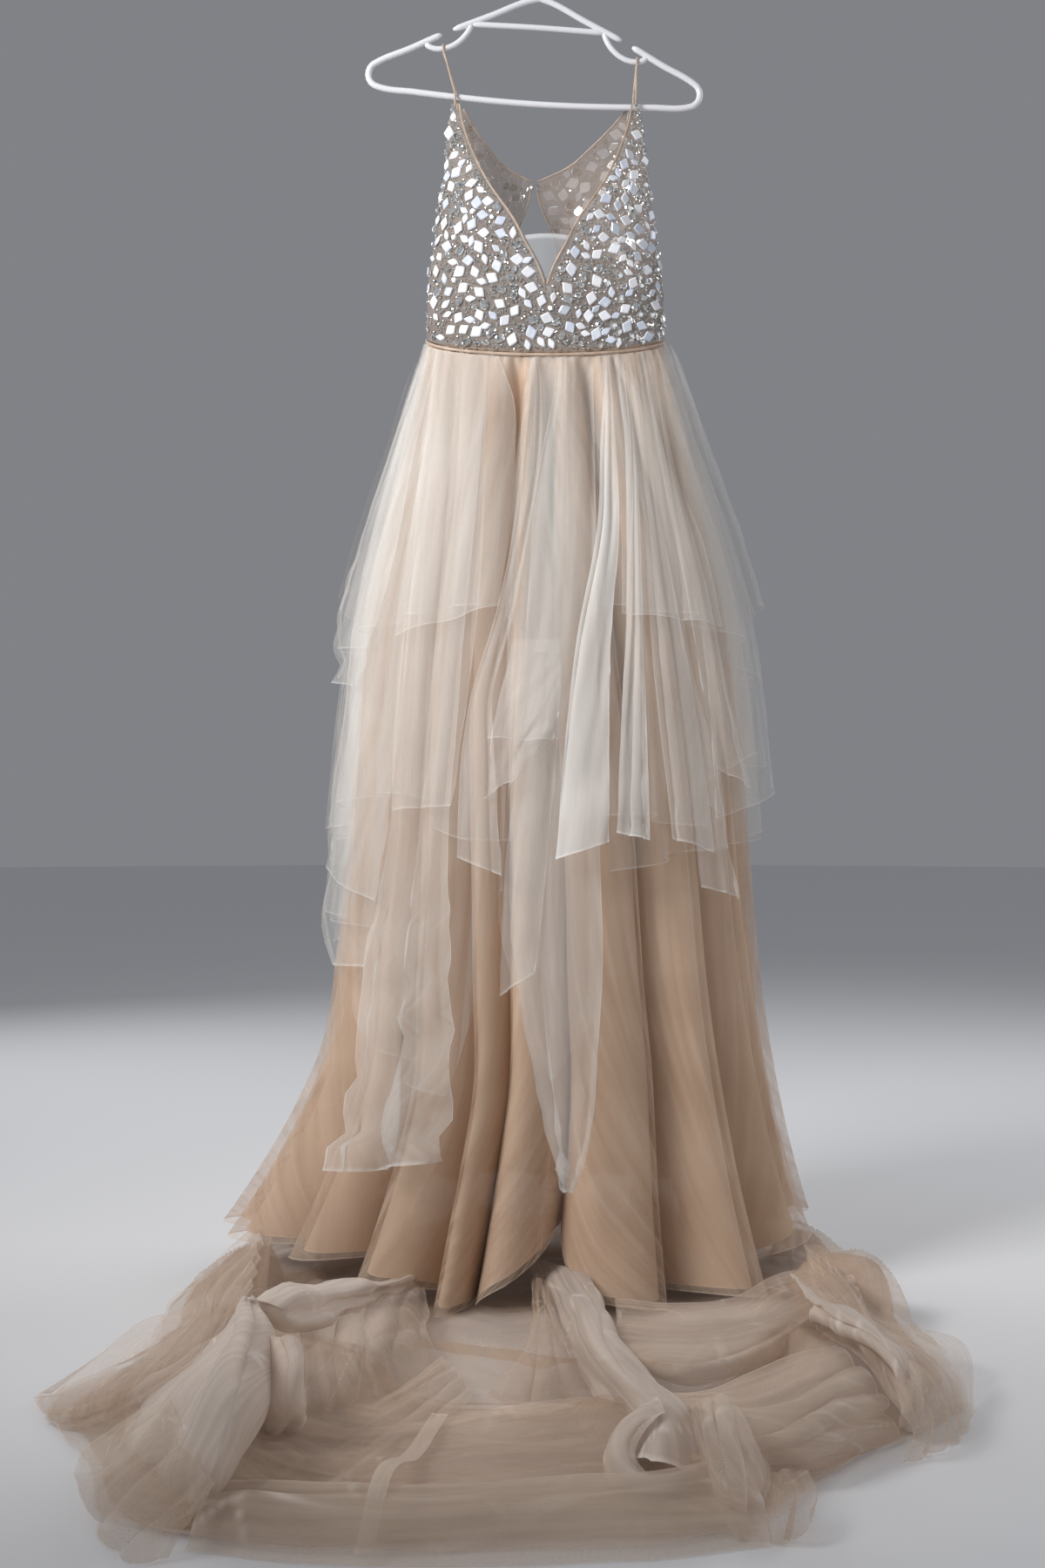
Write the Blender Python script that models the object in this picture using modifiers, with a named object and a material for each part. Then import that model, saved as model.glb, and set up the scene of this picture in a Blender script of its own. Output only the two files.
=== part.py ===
"""Long tulle gown on a notched tube hanger, with its train drawn round to the front.

Metres, +Z up, the gown's front towards -Y. The origin is the inside top of the
hanger's hook, where a rod or wall hook holds it.
"""

import math

import bmesh
import bpy
import numpy as np

# Hanger
TUBE_RADIUS = 0.004
HOOK_RADIUS = 0.022
APEX_DROP = 0.060
TILT = math.radians(3.8)

# Gown, hanging
CENTRE_X = 0.003
WAIST_Z = -0.491
WAIST_DIP = 0.027
DIP_FADE = 0.12
FLOOR_Z = -1.6766
BODICE_WALL = 0.0014
TULLE_WALL = 0.0010
SEAM_GAP = 0.0004
BINDING_WIDTH = 0.003
BINDING_WALL = 0.0022
TAPE_DEPTH = 0.006
SKIRT_TOP = TAPE_DEPTH + 0.0013
STRAP_RADIUS = 0.0015
BACK_CLOSURE_X = -0.014
CLOSURE_HEIGHT = 0.207
NECK_RISE = 0.085
STRAP_LIFT = 0.0010
STRAP_BOW = 0.0010
MESH_WALL = 0.0010
MESH_INSET = 0.0022

# Bodice rings by height above the waist seam: half width, depth in front of and
# behind the centre plane, and how far round from the side the armhole is cut.
#  height, half width, front depth, back depth, armhole angle in degrees
BODICE_RINGS = np.array([
    (0.000, 0.1505, 0.046, 0.044, 0.0),
    (0.070, 0.1480, 0.058, 0.045, 0.0),
    (0.125, 0.1405, 0.068, 0.045, 0.0),
    (0.171, 0.1345, 0.062, 0.042, 0.0),
    (0.195, 0.1310, 0.056, 0.040, 8.0),
    (0.263, 0.1330, 0.034, 0.026, 22.0),
    (0.293, 0.1320, 0.021, 0.017, 26.0),
])

# Front neckline: height above the waist seam, distance from the centre line
V_NECK = np.array([
    (0.062, 0.0003), (0.085, 0.011), (0.110, 0.028), (0.135, 0.042),
    (0.180, 0.071), (0.227, 0.093), (0.270, 0.1065), (0.292, 0.1100),
])

# Keyhole and back neckline: height above the waist seam, distance from the closure
BACK_OPENING = np.array([
    (0.082, 0.0003), (0.086, 0.014), (0.092, 0.026), (0.106, 0.031), (0.128, 0.029),
    (0.153, 0.020), (0.188, 0.007), (0.207, 0.0045), (0.212, 0.016), (0.222, 0.037),
    (0.247, 0.066), (0.269, 0.087), (0.292, 0.1050),
])
KEYHOLE_ROWS = 8

# Princess seam: height above the waist seam, distance from the centre line
PRINCESS = np.array([(0.0, 0.085), (0.12, 0.078), (0.20, 0.094), (0.292, 0.1145)])

# Skirt rings by drop below the waist seam
#  drop, half width, front depth, back depth, centre shift
SKIRT_RINGS = np.array([
    (0.000, 0.1500, 0.046, 0.044, 0.000),
    (0.124, 0.1740, 0.085, 0.080, 0.001),
    (0.234, 0.1980, 0.110, 0.105, 0.002),
    (0.345, 0.2190, 0.130, 0.125, 0.002),
    (0.455, 0.2320, 0.145, 0.140, 0.003),
    (0.566, 0.2390, 0.160, 0.150, 0.004),
    (0.676, 0.2450, 0.170, 0.160, 0.004),
    (0.765, 0.2525, 0.180, 0.170, 0.002),
    (0.897, 0.2680, 0.195, 0.185, 0.000),
    (0.963, 0.2830, 0.203, 0.195, -0.006),
    (1.052, 0.3060, 0.212, 0.215, -0.014),
    (1.140, 0.3280, 0.222, 0.240, -0.020),
    (1.186, 0.3350, 0.228, 0.250, -0.022),
])

# Folds round the skirt, each a ridge that starts at one bearing on the waist and
# ends at another on the floor. Bearings run from the front centre, + to +X.
#  waist bearing, floor bearing, depth at the floor
FOLDS = np.array([
    (-88.0, -92.0, 0.020),
    (-66.0, -66.0, 0.024),
    (-46.0, -42.0, 0.026),
    (-28.0, -23.0, 0.028),
    (-13.0, -8.0, 0.030),
    (3.0, 10.0, 0.026),
    (18.0, 24.0, 0.032),
    (34.0, 39.0, 0.030),
    (50.0, 55.0, 0.026),
    (68.0, 72.0, 0.026),
    (88.0, 91.0, 0.020),
    (114.0, 117.0, 0.024),
    (141.0, 143.0, 0.028),
    (168.0, 168.0, 0.028),
    (194.0, 193.0, 0.028),
    (220.0, 218.0, 0.028),
    (246.0, 243.0, 0.024),
])
FULL_DROP = 1.186
WAIST_FOLD = 0.0012
COLUMNS_A_FOLD = 4
SPLIT_GAP = 0.012   # in folds

# Standing-off of each tulle layer from the underskirt: at the waist, and for each
# metre of drop
LAYER_SPREAD = {"underskirt": (-0.0020, 0.0), "long": (0.0, 0.034),
                "middle": (0.0020, 0.056), "short": (0.0040, 0.088)}
LAYER_DROPS = {"underskirt": (0.0, 0.06, 0.16, 0.32, 0.54, 0.76, 0.94),
               "long": (0.0, 0.06, 0.16, 0.32, 0.54),
               "middle": (0.0, 0.06, 0.16, 0.32),
               "short": (0.0, 0.07, 0.19)}
ROWS_TO_HEM = {"underskirt": 1, "long": 3, "middle": 1, "short": 1}

# Hems: waist bearing, drop of the hem below the waist seam
HEMS = {
    "short": [(-100, 0.43), (-78, 0.45), (-55, 0.39), (-37, 0.335), (-20, 0.335), (-8, 0.465),
              (4, 0.42), (16, 0.345), (34, 0.385), (50, 0.360), (70, 0.43), (92, 0.48),
              (120, 0.41), (150, 0.345), (180, 0.43), (210, 0.35), (240, 0.40), (260, 0.43)],
    "middle": [(-90, 0.68), (-64, 0.63), (-31, 0.640), (-18, 0.665), (-6, 0.59), (2, 0.63),
               (15, 0.605), (25, 0.62), (46, 0.635), (58, 0.695), (69, 0.585), (90, 0.58),
               (120, 0.65), (150, 0.57), (180, 0.68), (210, 0.58), (240, 0.66), (270, 0.68)],
    "long": [(-90, 0.79), (-70, 0.90), (-56, 1.02), (-44, 0.99), (-29, 1.00), (-22, 0.72),
             (-14, 0.80), (0, 1.03), (5, 1.00), (9, 0.93), (18, 0.72), (40, 0.68),
             (90, 0.66), (120, 0.76), (150, 0.69), (180, 0.86), (210, 0.70), (240, 0.80),
             (270, 0.79)],
}

# Underskirt hem: waist bearing, height above the floor
UNDERSKIRT_HEM = [(-180, 0.080), (-120, 0.080), (-88, 0.084), (-66, 0.072), (-46, 0.052),
                  (-34, 0.030), (-28, 0.012), (-20, 0.005), (-10, 0.005), (-5, 0.030),
                  (0, 0.075), (4, 0.085), (9, 0.045), (14, 0.012), (18, 0.005), (34, 0.005),
                  (50, 0.006), (58, 0.030), (72, 0.074), (90, 0.080), (120, 0.080)]

# Train on the floor, in bearings round a point in front of the gown: the heap's
# inner edge, outer edge and height
TRAIN_X = -0.02
TRAIN_Y = -0.42
#  bearing, inner radius, outer radius, height
TRAIN = np.array([
    (-180.0, 0.50, 0.735, 0.066),
    (-158.0, 0.49, 0.725, 0.066),
    (-138.0, 0.42, 0.610, 0.066),
    (-111.0, 0.31, 0.470, 0.070),
    (-87.0, 0.17, 0.465, 0.098),
    (-74.0, 0.16, 0.515, 0.100),
    (-48.0, 0.18, 0.565, 0.085),
    (-34.0, 0.20, 0.645, 0.070),
    (-23.0, 0.21, 0.645, 0.060),
    (-6.0, 0.20, 0.612, 0.055),
    (6.0, 0.20, 0.594, 0.055),
    (17.0, 0.20, 0.590, 0.058),
    (26.0, 0.21, 0.545, 0.065),
    (43.0, 0.23, 0.485, 0.080),
    (65.0, 0.23, 0.482, 0.088),
    (86.0, 0.24, 0.474, 0.085),
    (112.0, 0.33, 0.485, 0.070),
    (138.0, 0.42, 0.610, 0.066),
    (155.0, 0.48, 0.715, 0.066),
    (180.0, 0.50, 0.735, 0.066),
])
TRAIN_EDGE = 0.005
TRAIN_RIPPLE = 0.009
TRAIN_RIPPLES = 19
TRAIN_STEP = 11.25
TRAIN_ROWS = 5
FLOOR_LAYER_WALL = 0.0015
FLOOR_LAYER_GAP = 0.0006

NUDE_NET = ("nude_net", (0.56, 0.47, 0.40), 0.7, 0.0)
TAN_BINDING = ("tan_binding", (0.55, 0.40, 0.28), 0.6, 0.0)
CHAMPAGNE_TULLE = ("champagne_tulle", (0.72, 0.54, 0.40), 0.75, 0.0)
IVORY_TULLE = ("ivory_tulle", (0.86, 0.85, 0.82), 0.75, 0.0)
PALE_MESH = ("pale_mesh", (0.55, 0.55, 0.55), 0.7, 0.0)
WHITE_PLASTIC = ("white_plastic", (0.86, 0.85, 0.88), 0.3, 0.0)
STEEL_WIRE = ("steel_wire", (0.75, 0.75, 0.76), 0.3, 1.0)


def clear_scene():
    for existing in list(bpy.data.objects):
        bpy.data.objects.remove(existing, do_unlink=True)


def make_collection(name):
    collection = bpy.data.collections.new(name)
    bpy.context.scene.collection.children.link(collection)
    return collection


def material(finish):
    """The Principled material of a finish: name, colour, roughness, metallic."""
    name, colour, roughness, metallic = finish
    found = bpy.data.materials.get(name)
    if found is None:
        found = bpy.data.materials.new(name)
        found.use_nodes = True
        shader = found.node_tree.nodes["Principled BSDF"]
        shader.inputs["Base Color"].default_value = (*colour, 1.0)
        shader.inputs["Roughness"].default_value = roughness
        shader.inputs["Metallic"].default_value = metallic
    return found


def place(name, data, finish, collection, parent):
    thing = bpy.data.objects.new(name, data)
    data.materials.append(material(finish))
    collection.objects.link(thing)
    thing.parent = parent
    return thing


def grid_mesh(name, points, closed=False):
    """An open sheet through rows of points; closed joins the last column to the first."""
    rows, columns = points.shape[:2]
    faces = []
    for row in range(rows - 1):
        for column in range(columns if closed else columns - 1):
            near = row * columns + column
            far = row * columns + (column + 1) % columns
            faces.append((near, far, far + columns))
            faces.append((near, far + columns, near + columns))
    mesh = bpy.data.meshes.new(name)
    mesh.from_pydata(points.reshape(-1, 3).tolist(), [], faces)
    mesh.update()
    return mesh


def cloth(name, points, wall, finish, closed=False):
    """A sheet of cloth through rows of points, with the wall centred on them."""
    piece = place(name, grid_mesh(name, points, closed), finish, GOWN, ROOT)
    solid = piece.modifiers.new("wall", "SOLIDIFY")
    solid.thickness = wall
    solid.offset = 0.0
    solid.use_even_offset = True
    return piece


def tube(name, points, radius, finish, collection, resolution=2):
    curve = bpy.data.curves.new(name, "CURVE")
    curve.dimensions = "3D"
    curve.bevel_depth = radius
    curve.bevel_resolution = resolution
    curve.use_fill_caps = True
    spline = curve.splines.new("POLY")
    spline.points.add(len(points) - 1)
    for at, point in zip(spline.points, points):
        at.co = (*point, 1.0)
    return place(name, curve, finish, collection, ROOT)


def table_at(table, where, column):
    return np.interp(where, table[:, 0], table[:, column])


# ---- hanger -------------------------------------------------------------------

def on_hanger(x, z, y=0.0):
    """A point of the level hanger, measured from its apex, turned by its tilt."""
    level_z = z - APEX_DROP
    across = x * math.cos(TILT) + level_z * math.sin(TILT)
    up = -x * math.sin(TILT) + level_z * math.cos(TILT)
    return (across, y, up)


def arc(centre_x, centre_z, radius, first, last, steps):
    """Points of an arc in the hanger's plane; angles in degrees from +X."""
    angles = np.radians(np.linspace(first, last, steps))
    return [(centre_x + radius * math.cos(a), centre_z + radius * math.sin(a)) for a in angles]


def hanger_lines():
    """The hanger's tubes in its own plane: name, centre line, radius."""
    hook_z = APEX_DROP + TUBE_RADIUS - HOOK_RADIUS
    hook = [(0.0, -0.001), (0.0, 0.010), (0.004, 0.018), (0.013, 0.0255)]
    hook += arc(0.0, hook_z, HOOK_RADIUS, -18, 198, 15)
    arms = [(-0.107, -0.048), (0.0, 0.0), (0.107, -0.048)]
    cross_bar = [(-0.086, -0.0395), (0.0, -0.0385), (0.086, -0.0395)]
    half_frame = [(0.121, -0.055), (0.159, -0.075)]
    half_frame += arc(0.1945, -0.1105, 0.0160, 62, -80, 8)
    half_frame += [(0.150, -0.1300), (0.107, -0.1325), (0.050, -0.1348)]
    frame = half_frame + [(0.0, -0.1355)] + [(-x, z) for x, z in reversed(half_frame)]
    notch = [(0.0835, -0.0385), (0.0885, -0.050), (0.096, -0.060), (0.107, -0.0685),
             (0.118, -0.0728), (0.128, -0.0735), (0.136, -0.0712), (0.1415, -0.0665)]
    mirrored = [(-x, z) for x, z in notch]
    return (("frame", frame, TUBE_RADIUS), ("arms", arms, TUBE_RADIUS * 0.97),
            ("cross_bar", cross_bar, TUBE_RADIUS * 0.90), ("hook", hook, TUBE_RADIUS * 0.85),
            ("notch_right", notch, TUBE_RADIUS * 0.88), ("notch_left", mirrored, TUBE_RADIUS * 0.88))


def build_hanger():
    """One moulded body: every tube after the first is joined on."""
    joined = None
    for label, line, radius in hanger_lines():
        run = tube("hanger_" + label, [on_hanger(x, z) for x, z in line],
                   radius, WHITE_PLASTIC, CUTTERS)
        solid = bpy.data.meshes.new_from_object(run.evaluated_get(
            bpy.context.evaluated_depsgraph_get()))
        bpy.data.objects.remove(run, do_unlink=True)
        shape = bmesh.new()
        shape.from_mesh(solid)
        bmesh.ops.remove_doubles(shape, verts=shape.verts, dist=0.00001)
        shape.to_mesh(solid)
        shape.free()
        if joined is None:
            joined = place("hanger", solid, WHITE_PLASTIC, GOWN, ROOT)
        else:
            piece = place("hanger_" + label, solid, WHITE_PLASTIC, CUTTERS, ROOT)
            piece.hide_render = True
            piece.display_type = "WIRE"
            union = joined.modifiers.new(label, "BOOLEAN")
            union.operation = "UNION"
            union.solver = "EXACT"
            union.object = piece
    return joined


# ---- bodice -------------------------------------------------------------------

def waist_height(bearing):
    """Height of the waist seam, which dips to the front centre."""
    return WAIST_Z - WAIST_DIP * np.maximum(np.cos(bearing), 0.0)


def bodice_point(bearing, height, front, inward=0.0):
    """A point on the bodice: bearing from the middle of its front or back."""
    side = -1.0 if front else 1.0
    half_width = table_at(BODICE_RINGS, height, 1) - inward
    depth = table_at(BODICE_RINGS, height, 2 if front else 3) - inward
    dip = WAIST_DIP * np.maximum(np.cos(bearing), 0.0) * np.maximum(0.0, 1.0 - height / DIP_FADE)
    x = CENTRE_X + half_width * np.sin(bearing)
    y = side * depth * np.cos(bearing)
    z = WAIST_Z + height - (dip if front else 0.0)
    return np.stack([x, y, z], axis=-1)


def bearing_of(x, height):
    half_width = table_at(BODICE_RINGS, height, 1)
    return np.arcsin(np.clip(x / half_width, -1.0, 1.0))


def panel_grid(heights, inner_x, outer_bearing, side, front, columns, inward=0.0):
    """Rows between an inner edge, given by its distance, and an outer bearing.

    The columns close up towards the outer edge, where the ring turns most.
    """
    inner = bearing_of(inner_x, heights)
    across = 1.0 - np.linspace(1.0, 0.0, columns)[None, :] ** 1.7
    bearing = side * (inner[:, None] * (1 - across) + outer_bearing[:, None] * across)
    tall = np.broadcast_to(heights[:, None], bearing.shape)
    return bodice_point(bearing, tall, front, inward)


def armhole_bearing(heights):
    seam = SEAM_GAP / 2 / table_at(BODICE_RINGS, heights, 3)
    return np.radians(90.0 - table_at(BODICE_RINGS, heights, 4)) - seam


def edge_strip(edge, near, far, side, front, shift=0.0):
    """A strip along an edge of (height, distance) points, on the edge's open side."""
    heights = edge[:, 0]
    distance = edge[:, 1]
    along = np.stack([np.gradient(heights), np.gradient(distance)], axis=-1)
    along /= np.linalg.norm(along, axis=1)[:, None]
    outward = np.stack([along[:, 1], -along[:, 0]], axis=-1)
    lines = []
    for reach in (near, far):
        high = heights + outward[:, 0] * reach
        out = distance + outward[:, 1] * reach
        bearing = bearing_of(side * out + shift, high)
        lines.append(bodice_point(bearing, high, front))
    return np.stack(lines, axis=1)


def build_bodice():
    half_gap = SEAM_GAP / 2
    front_heights = np.array([0.0, 0.03, 0.062, 0.085, 0.11, 0.135, 0.18, 0.227, 0.27, 0.292])
    v_edge = np.where(front_heights < V_NECK[0, 0], half_gap,
                      np.interp(front_heights, V_NECK[:, 0], V_NECK[:, 1]))
    seam = np.interp(front_heights, PRINCESS[:, 0], PRINCESS[:, 1])
    for word, side in (("left", -1.0), ("right", 1.0)):
        inner_seam = bearing_of(seam - half_gap, front_heights)
        centre = panel_grid(front_heights, v_edge, inner_seam, side, True, 5)
        cloth("bodice_front_" + word, centre, BODICE_WALL, NUDE_NET)
        outer = panel_grid(front_heights, seam + half_gap, armhole_bearing(front_heights),
                           side, True, 5)
        cloth("bodice_side_front_" + word, outer, BODICE_WALL, NUDE_NET)
        strip = edge_strip(V_NECK[1:], SEAM_GAP, SEAM_GAP + BINDING_WIDTH, side, True)
        cloth("neck_binding_" + word, strip, BINDING_WALL, TAN_BINDING)
        build_back(word, side)
    build_modesty_panel()


def build_modesty_panel():
    """Mesh across the lowest part of the V, behind it and lapping under its edges."""
    rows = np.array([0.052, 0.075, 0.098, 0.113])
    half = np.interp(rows, V_NECK[:, 0], V_NECK[:, 1]) + 0.007
    across = np.linspace(-1.0, 1.0, 5)[None, :]
    spread = half[:, None] * across
    tall = rows[:, None] + 0.002 * (1 - across ** 2) * np.array([0, 0, 0, 1])[:, None]
    bearing = bearing_of(spread, tall)
    mesh_points = bodice_point(bearing, tall, True, inward=MESH_INSET)
    cloth("modesty_panel", mesh_points, MESH_WALL, PALE_MESH)


def build_back(word, side):
    """One back panel: centre back seam, keyhole edge, neckline and armhole."""
    heights = np.concatenate([[0.0, 0.03, 0.06], BACK_OPENING[:, 0]])
    opening = np.concatenate([[SEAM_GAP / 2] * 3, BACK_OPENING[:, 1]])
    fade = 1.0 - np.clip((heights - CLOSURE_HEIGHT) / NECK_RISE, 0.0, 1.0)
    inner = np.maximum(opening + side * BACK_CLOSURE_X * fade, -0.09)
    points = panel_grid(heights, inner, armhole_bearing(heights), side, False, 5)
    cloth("bodice_back_" + word, points, BODICE_WALL, NUDE_NET)
    edge = np.stack([BACK_OPENING[:, 0], BACK_OPENING[:, 1] + side * BACK_CLOSURE_X * fade[3:]],
                    axis=-1)
    keyhole = edge_strip(edge[2:KEYHOLE_ROWS - 1], SEAM_GAP, SEAM_GAP + BINDING_WIDTH,
                         side, False)
    cloth("keyhole_binding_" + word, keyhole, BINDING_WALL, TAN_BINDING)
    neck = edge_strip(edge[KEYHOLE_ROWS - 1:], SEAM_GAP, SEAM_GAP + BINDING_WIDTH, side, False)
    cloth("back_binding_" + word, neck, BINDING_WALL, TAN_BINDING)


def build_closure():
    """A wire hook and its eye, bridging the two back panels above the keyhole."""
    inside = table_at(BODICE_RINGS, CLOSURE_HEIGHT, 3) - BINDING_WALL / 2 - 0.0010
    x = CENTRE_X + BACK_CLOSURE_X
    top = WAIST_Z + 0.203
    hook = [(x + 0.006, inside, top), (x, inside, top), (x - 0.003, inside, top - 0.002),
            (x - 0.003, inside, top - 0.004), (x, inside, top - 0.006),
            (x + 0.006, inside, top - 0.006)]
    tube("closure_hook", hook, 0.0006, STEEL_WIRE, GOWN)
    eye = [(x - 0.0085, inside, top), (x - 0.006, inside, top), (x - 0.0046, inside, top - 0.002),
           (x - 0.0046, inside, top - 0.004), (x - 0.006, inside, top - 0.006),
           (x - 0.0085, inside, top - 0.006)]
    tube("closure_eye", eye, 0.0006, STEEL_WIRE, GOWN)


def build_straps():
    """Each strap rises from the front point, over its notch and down behind."""
    over = TUBE_RADIUS + STRAP_RADIUS + SEAM_GAP
    top_height = V_NECK[-1, 0]
    for word, side, notch_x, notch_z in (("left", -1.0, -0.118, -0.0728),
                                         ("right", 1.0, 0.128, -0.0735)):
        seat = on_hanger(notch_x, notch_z)
        front = bodice_point(bearing_of(side * 0.1143, top_height), top_height, True)
        back = bodice_point(bearing_of(side * 0.1120, top_height), top_height, False)
        points = [(front[0], front[1], front[2] + STRAP_LIFT),
                  (front[0], -over - STRAP_BOW, front[2] + STRAP_LIFT + 0.014)]
        for share in (0.35, 0.7, 1.0):
            points.append((front[0] + (seat[0] - front[0]) * share, -over,
                           front[2] + 0.018 + (seat[2] - front[2] - 0.018) * share))
        for turn in np.linspace(0.0, math.pi, 7)[1:-1]:
            points.append((seat[0], -over * math.cos(turn), seat[2] + over * math.sin(turn)))
        for share in (1.0, 0.7, 0.35):
            points.append((back[0] + (seat[0] - back[0]) * share, over,
                           back[2] + 0.018 + (seat[2] - back[2] - 0.018) * share))
        points += [(back[0], over + STRAP_BOW, back[2] + STRAP_LIFT + 0.014),
                   (back[0], back[1], back[2] + STRAP_LIFT)]
        tube("strap_" + word, points, STRAP_RADIUS, TAN_BINDING, GOWN)


def build_waist_tape():
    """A band just under the bodice, open by a seam gap at the centre back."""
    bearing = np.linspace(-math.pi + 0.004, math.pi - 0.004, 41)
    rows = [ring_point(bearing, np.full_like(bearing, drop), 0.0)
            for drop in (SEAM_GAP, SEAM_GAP + TAPE_DEPTH)]
    cloth("waist_tape", np.stack(rows), BODICE_WALL, TAN_BINDING)


# ---- skirt --------------------------------------------------------------------

def ring_point(bearing, drop, outward):
    """A point round the skirt at a drop below the waist seam, moved outward."""
    half_width = table_at(SKIRT_RINGS, drop, 1)
    depth = np.where(np.cos(bearing) > 0, table_at(SKIRT_RINGS, drop, 2),
                     table_at(SKIRT_RINGS, drop, 3))
    centre = CENTRE_X + table_at(SKIRT_RINGS, drop, 4)
    x = centre + (half_width + outward) * np.sin(bearing)
    y = -(depth + outward) * np.cos(bearing)
    return np.stack([x, y, waist_height(bearing) - drop], axis=-1)


def fold_row(column, phase):
    """A fold table column at a phase counted in folds, carried on past the ends."""
    count = len(FOLDS)
    turn = 360.0 if column < 2 else 0.0
    places = np.arange(-1, count + 2)
    values = FOLDS[places % count, column] + turn * np.floor_divide(places, count)
    return np.interp(phase, places, values)


def skirt_point(phase, drop, layer):
    """Ridges at whole phases, hollows half way, both deeper towards the floor."""
    share = drop / FULL_DROP
    bearing = np.radians(fold_row(0, phase) * (1 - share) + fold_row(1, phase) * share)
    at_waist, each_metre = LAYER_SPREAD[layer]
    depth = WAIST_FOLD + (fold_row(2, phase) - WAIST_FOLD) * share
    outward = at_waist + each_metre * drop + depth * np.cos(2 * math.pi * phase)
    return ring_point(bearing, drop + SKIRT_TOP, outward)


def phase_of(waist_bearing):
    """The fold phase that starts at a bearing on the waist."""
    places = np.arange(-1, len(FOLDS) + 2)
    return np.interp(waist_bearing, fold_row(0, places), places)


def hem_drop(layer, phase):
    """Drop of a layer's hem below the skirt's top at each phase."""
    bearing = fold_row(0, phase)
    if layer == "underskirt":
        table = np.array(UNDERSKIRT_HEM)
        above_floor = np.interp(bearing, table[:, 0], table[:, 1], period=360.0)
        return waist_height(np.radians(bearing)) - SKIRT_TOP - FLOOR_Z - above_floor
    table = np.array(HEMS[layer], dtype=float)
    return np.interp(bearing, table[:, 0], table[:, 1], period=360.0)


def tulle_piece(name, layer, first, last, finish):
    """The part of a layer from one waist bearing to another."""
    start = round(phase_of(first) * COLUMNS_A_FOLD)
    stop = round(phase_of(last) * COLUMNS_A_FOLD)
    phase = np.arange(start, stop + 1) / COLUMNS_A_FOLD
    phase[0] += SPLIT_GAP
    phase[-1] -= SPLIT_GAP
    fixed = np.array(LAYER_DROPS[layer])
    hem = hem_drop(layer, phase)
    rows_to_hem = ROWS_TO_HEM[layer]
    rows = [np.full_like(phase, drop) for drop in fixed]
    for step in range(1, rows_to_hem + 1):
        rows.append(fixed[-1] + (hem - fixed[-1]) * step / rows_to_hem)
    points = np.stack([skirt_point(phase, drop, layer) for drop in rows])
    return cloth(name, points, TULLE_WALL, finish)


def build_skirt():
    pieces = (("front_left", -88, -5), ("front_right", -5, 88),
              ("back_right", 88, 182), ("back_left", 182, 272))
    for word, first, last in pieces:
        tulle_piece("underskirt_" + word, "underskirt", first, last, CHAMPAGNE_TULLE)
    for layer, split in (("long", -20), ("middle", 2), ("short", -5)):
        for word, first, last in (("left", -88, split), ("right", split, 88),
                                  ("back", 88, 272)):
            tulle_piece(f"overlay_{layer}_{word}", layer, first, last, IVORY_TULLE)


# ---- train --------------------------------------------------------------------

def train_plan(bearing, share):
    """Floor position at a bearing, share of the way from inner to outer edge."""
    degrees = (np.degrees(bearing) + 180.0) % 360.0 - 180.0
    inner = table_at(TRAIN, degrees, 1)
    outer = table_at(TRAIN, degrees, 2)
    radius = inner + (outer - inner) * share
    return TRAIN_X + radius * np.sin(bearing), TRAIN_Y - radius * np.cos(bearing)


def heap_height(x, y):
    """Height of the heaped cloth: a swell across the heap with uneven ripples."""
    bearing = math.atan2(x - TRAIN_X, TRAIN_Y - y)
    degrees = math.degrees(bearing)
    inner, outer, height = (table_at(TRAIN, degrees, column) for column in (1, 2, 3))
    share = (math.hypot(x - TRAIN_X, y - TRAIN_Y) - inner) / (outer - inner)
    swell = math.sin(math.pi * min(max(share, 0.0), 1.0)) ** 0.55
    calm = 1.0 if abs(degrees) < 105.0 else 0.0
    ripple = TRAIN_RIPPLE * calm * math.cos(TRAIN_RIPPLES * bearing + 5.0 * share)
    return TRAIN_EDGE + (height - TRAIN_EDGE + ripple) * swell


def build_heap(name, first, last):
    """A heap of folded cloth, flat where it lies on the floor."""
    steps = round((last - first) / TRAIN_STEP)
    gap = math.radians(0.05)
    bearing = np.linspace(math.radians(first) + gap, math.radians(last) - gap, steps + 1)
    share = np.linspace(0.0, 1.0, TRAIN_ROWS + 1)
    x, y = train_plan(bearing[None, :], share[:, None])
    plan = np.stack([x, y, np.full_like(x, FLOOR_Z)], axis=-1)
    mesh = grid_mesh(name, plan)
    shape = bmesh.new()
    shape.from_mesh(mesh)
    raised = bmesh.ops.extrude_face_region(shape, geom=shape.faces[:])["geom"]
    for part in raised:
        if isinstance(part, bmesh.types.BMVert):
            part.co.z = FLOOR_Z + heap_height(part.co.x, part.co.y)
    bmesh.ops.recalc_face_normals(shape, faces=shape.faces[:])
    shape.to_mesh(mesh)
    shape.free()
    return place(name, mesh, CHAMPAGNE_TULLE, GOWN, ROOT)


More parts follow.
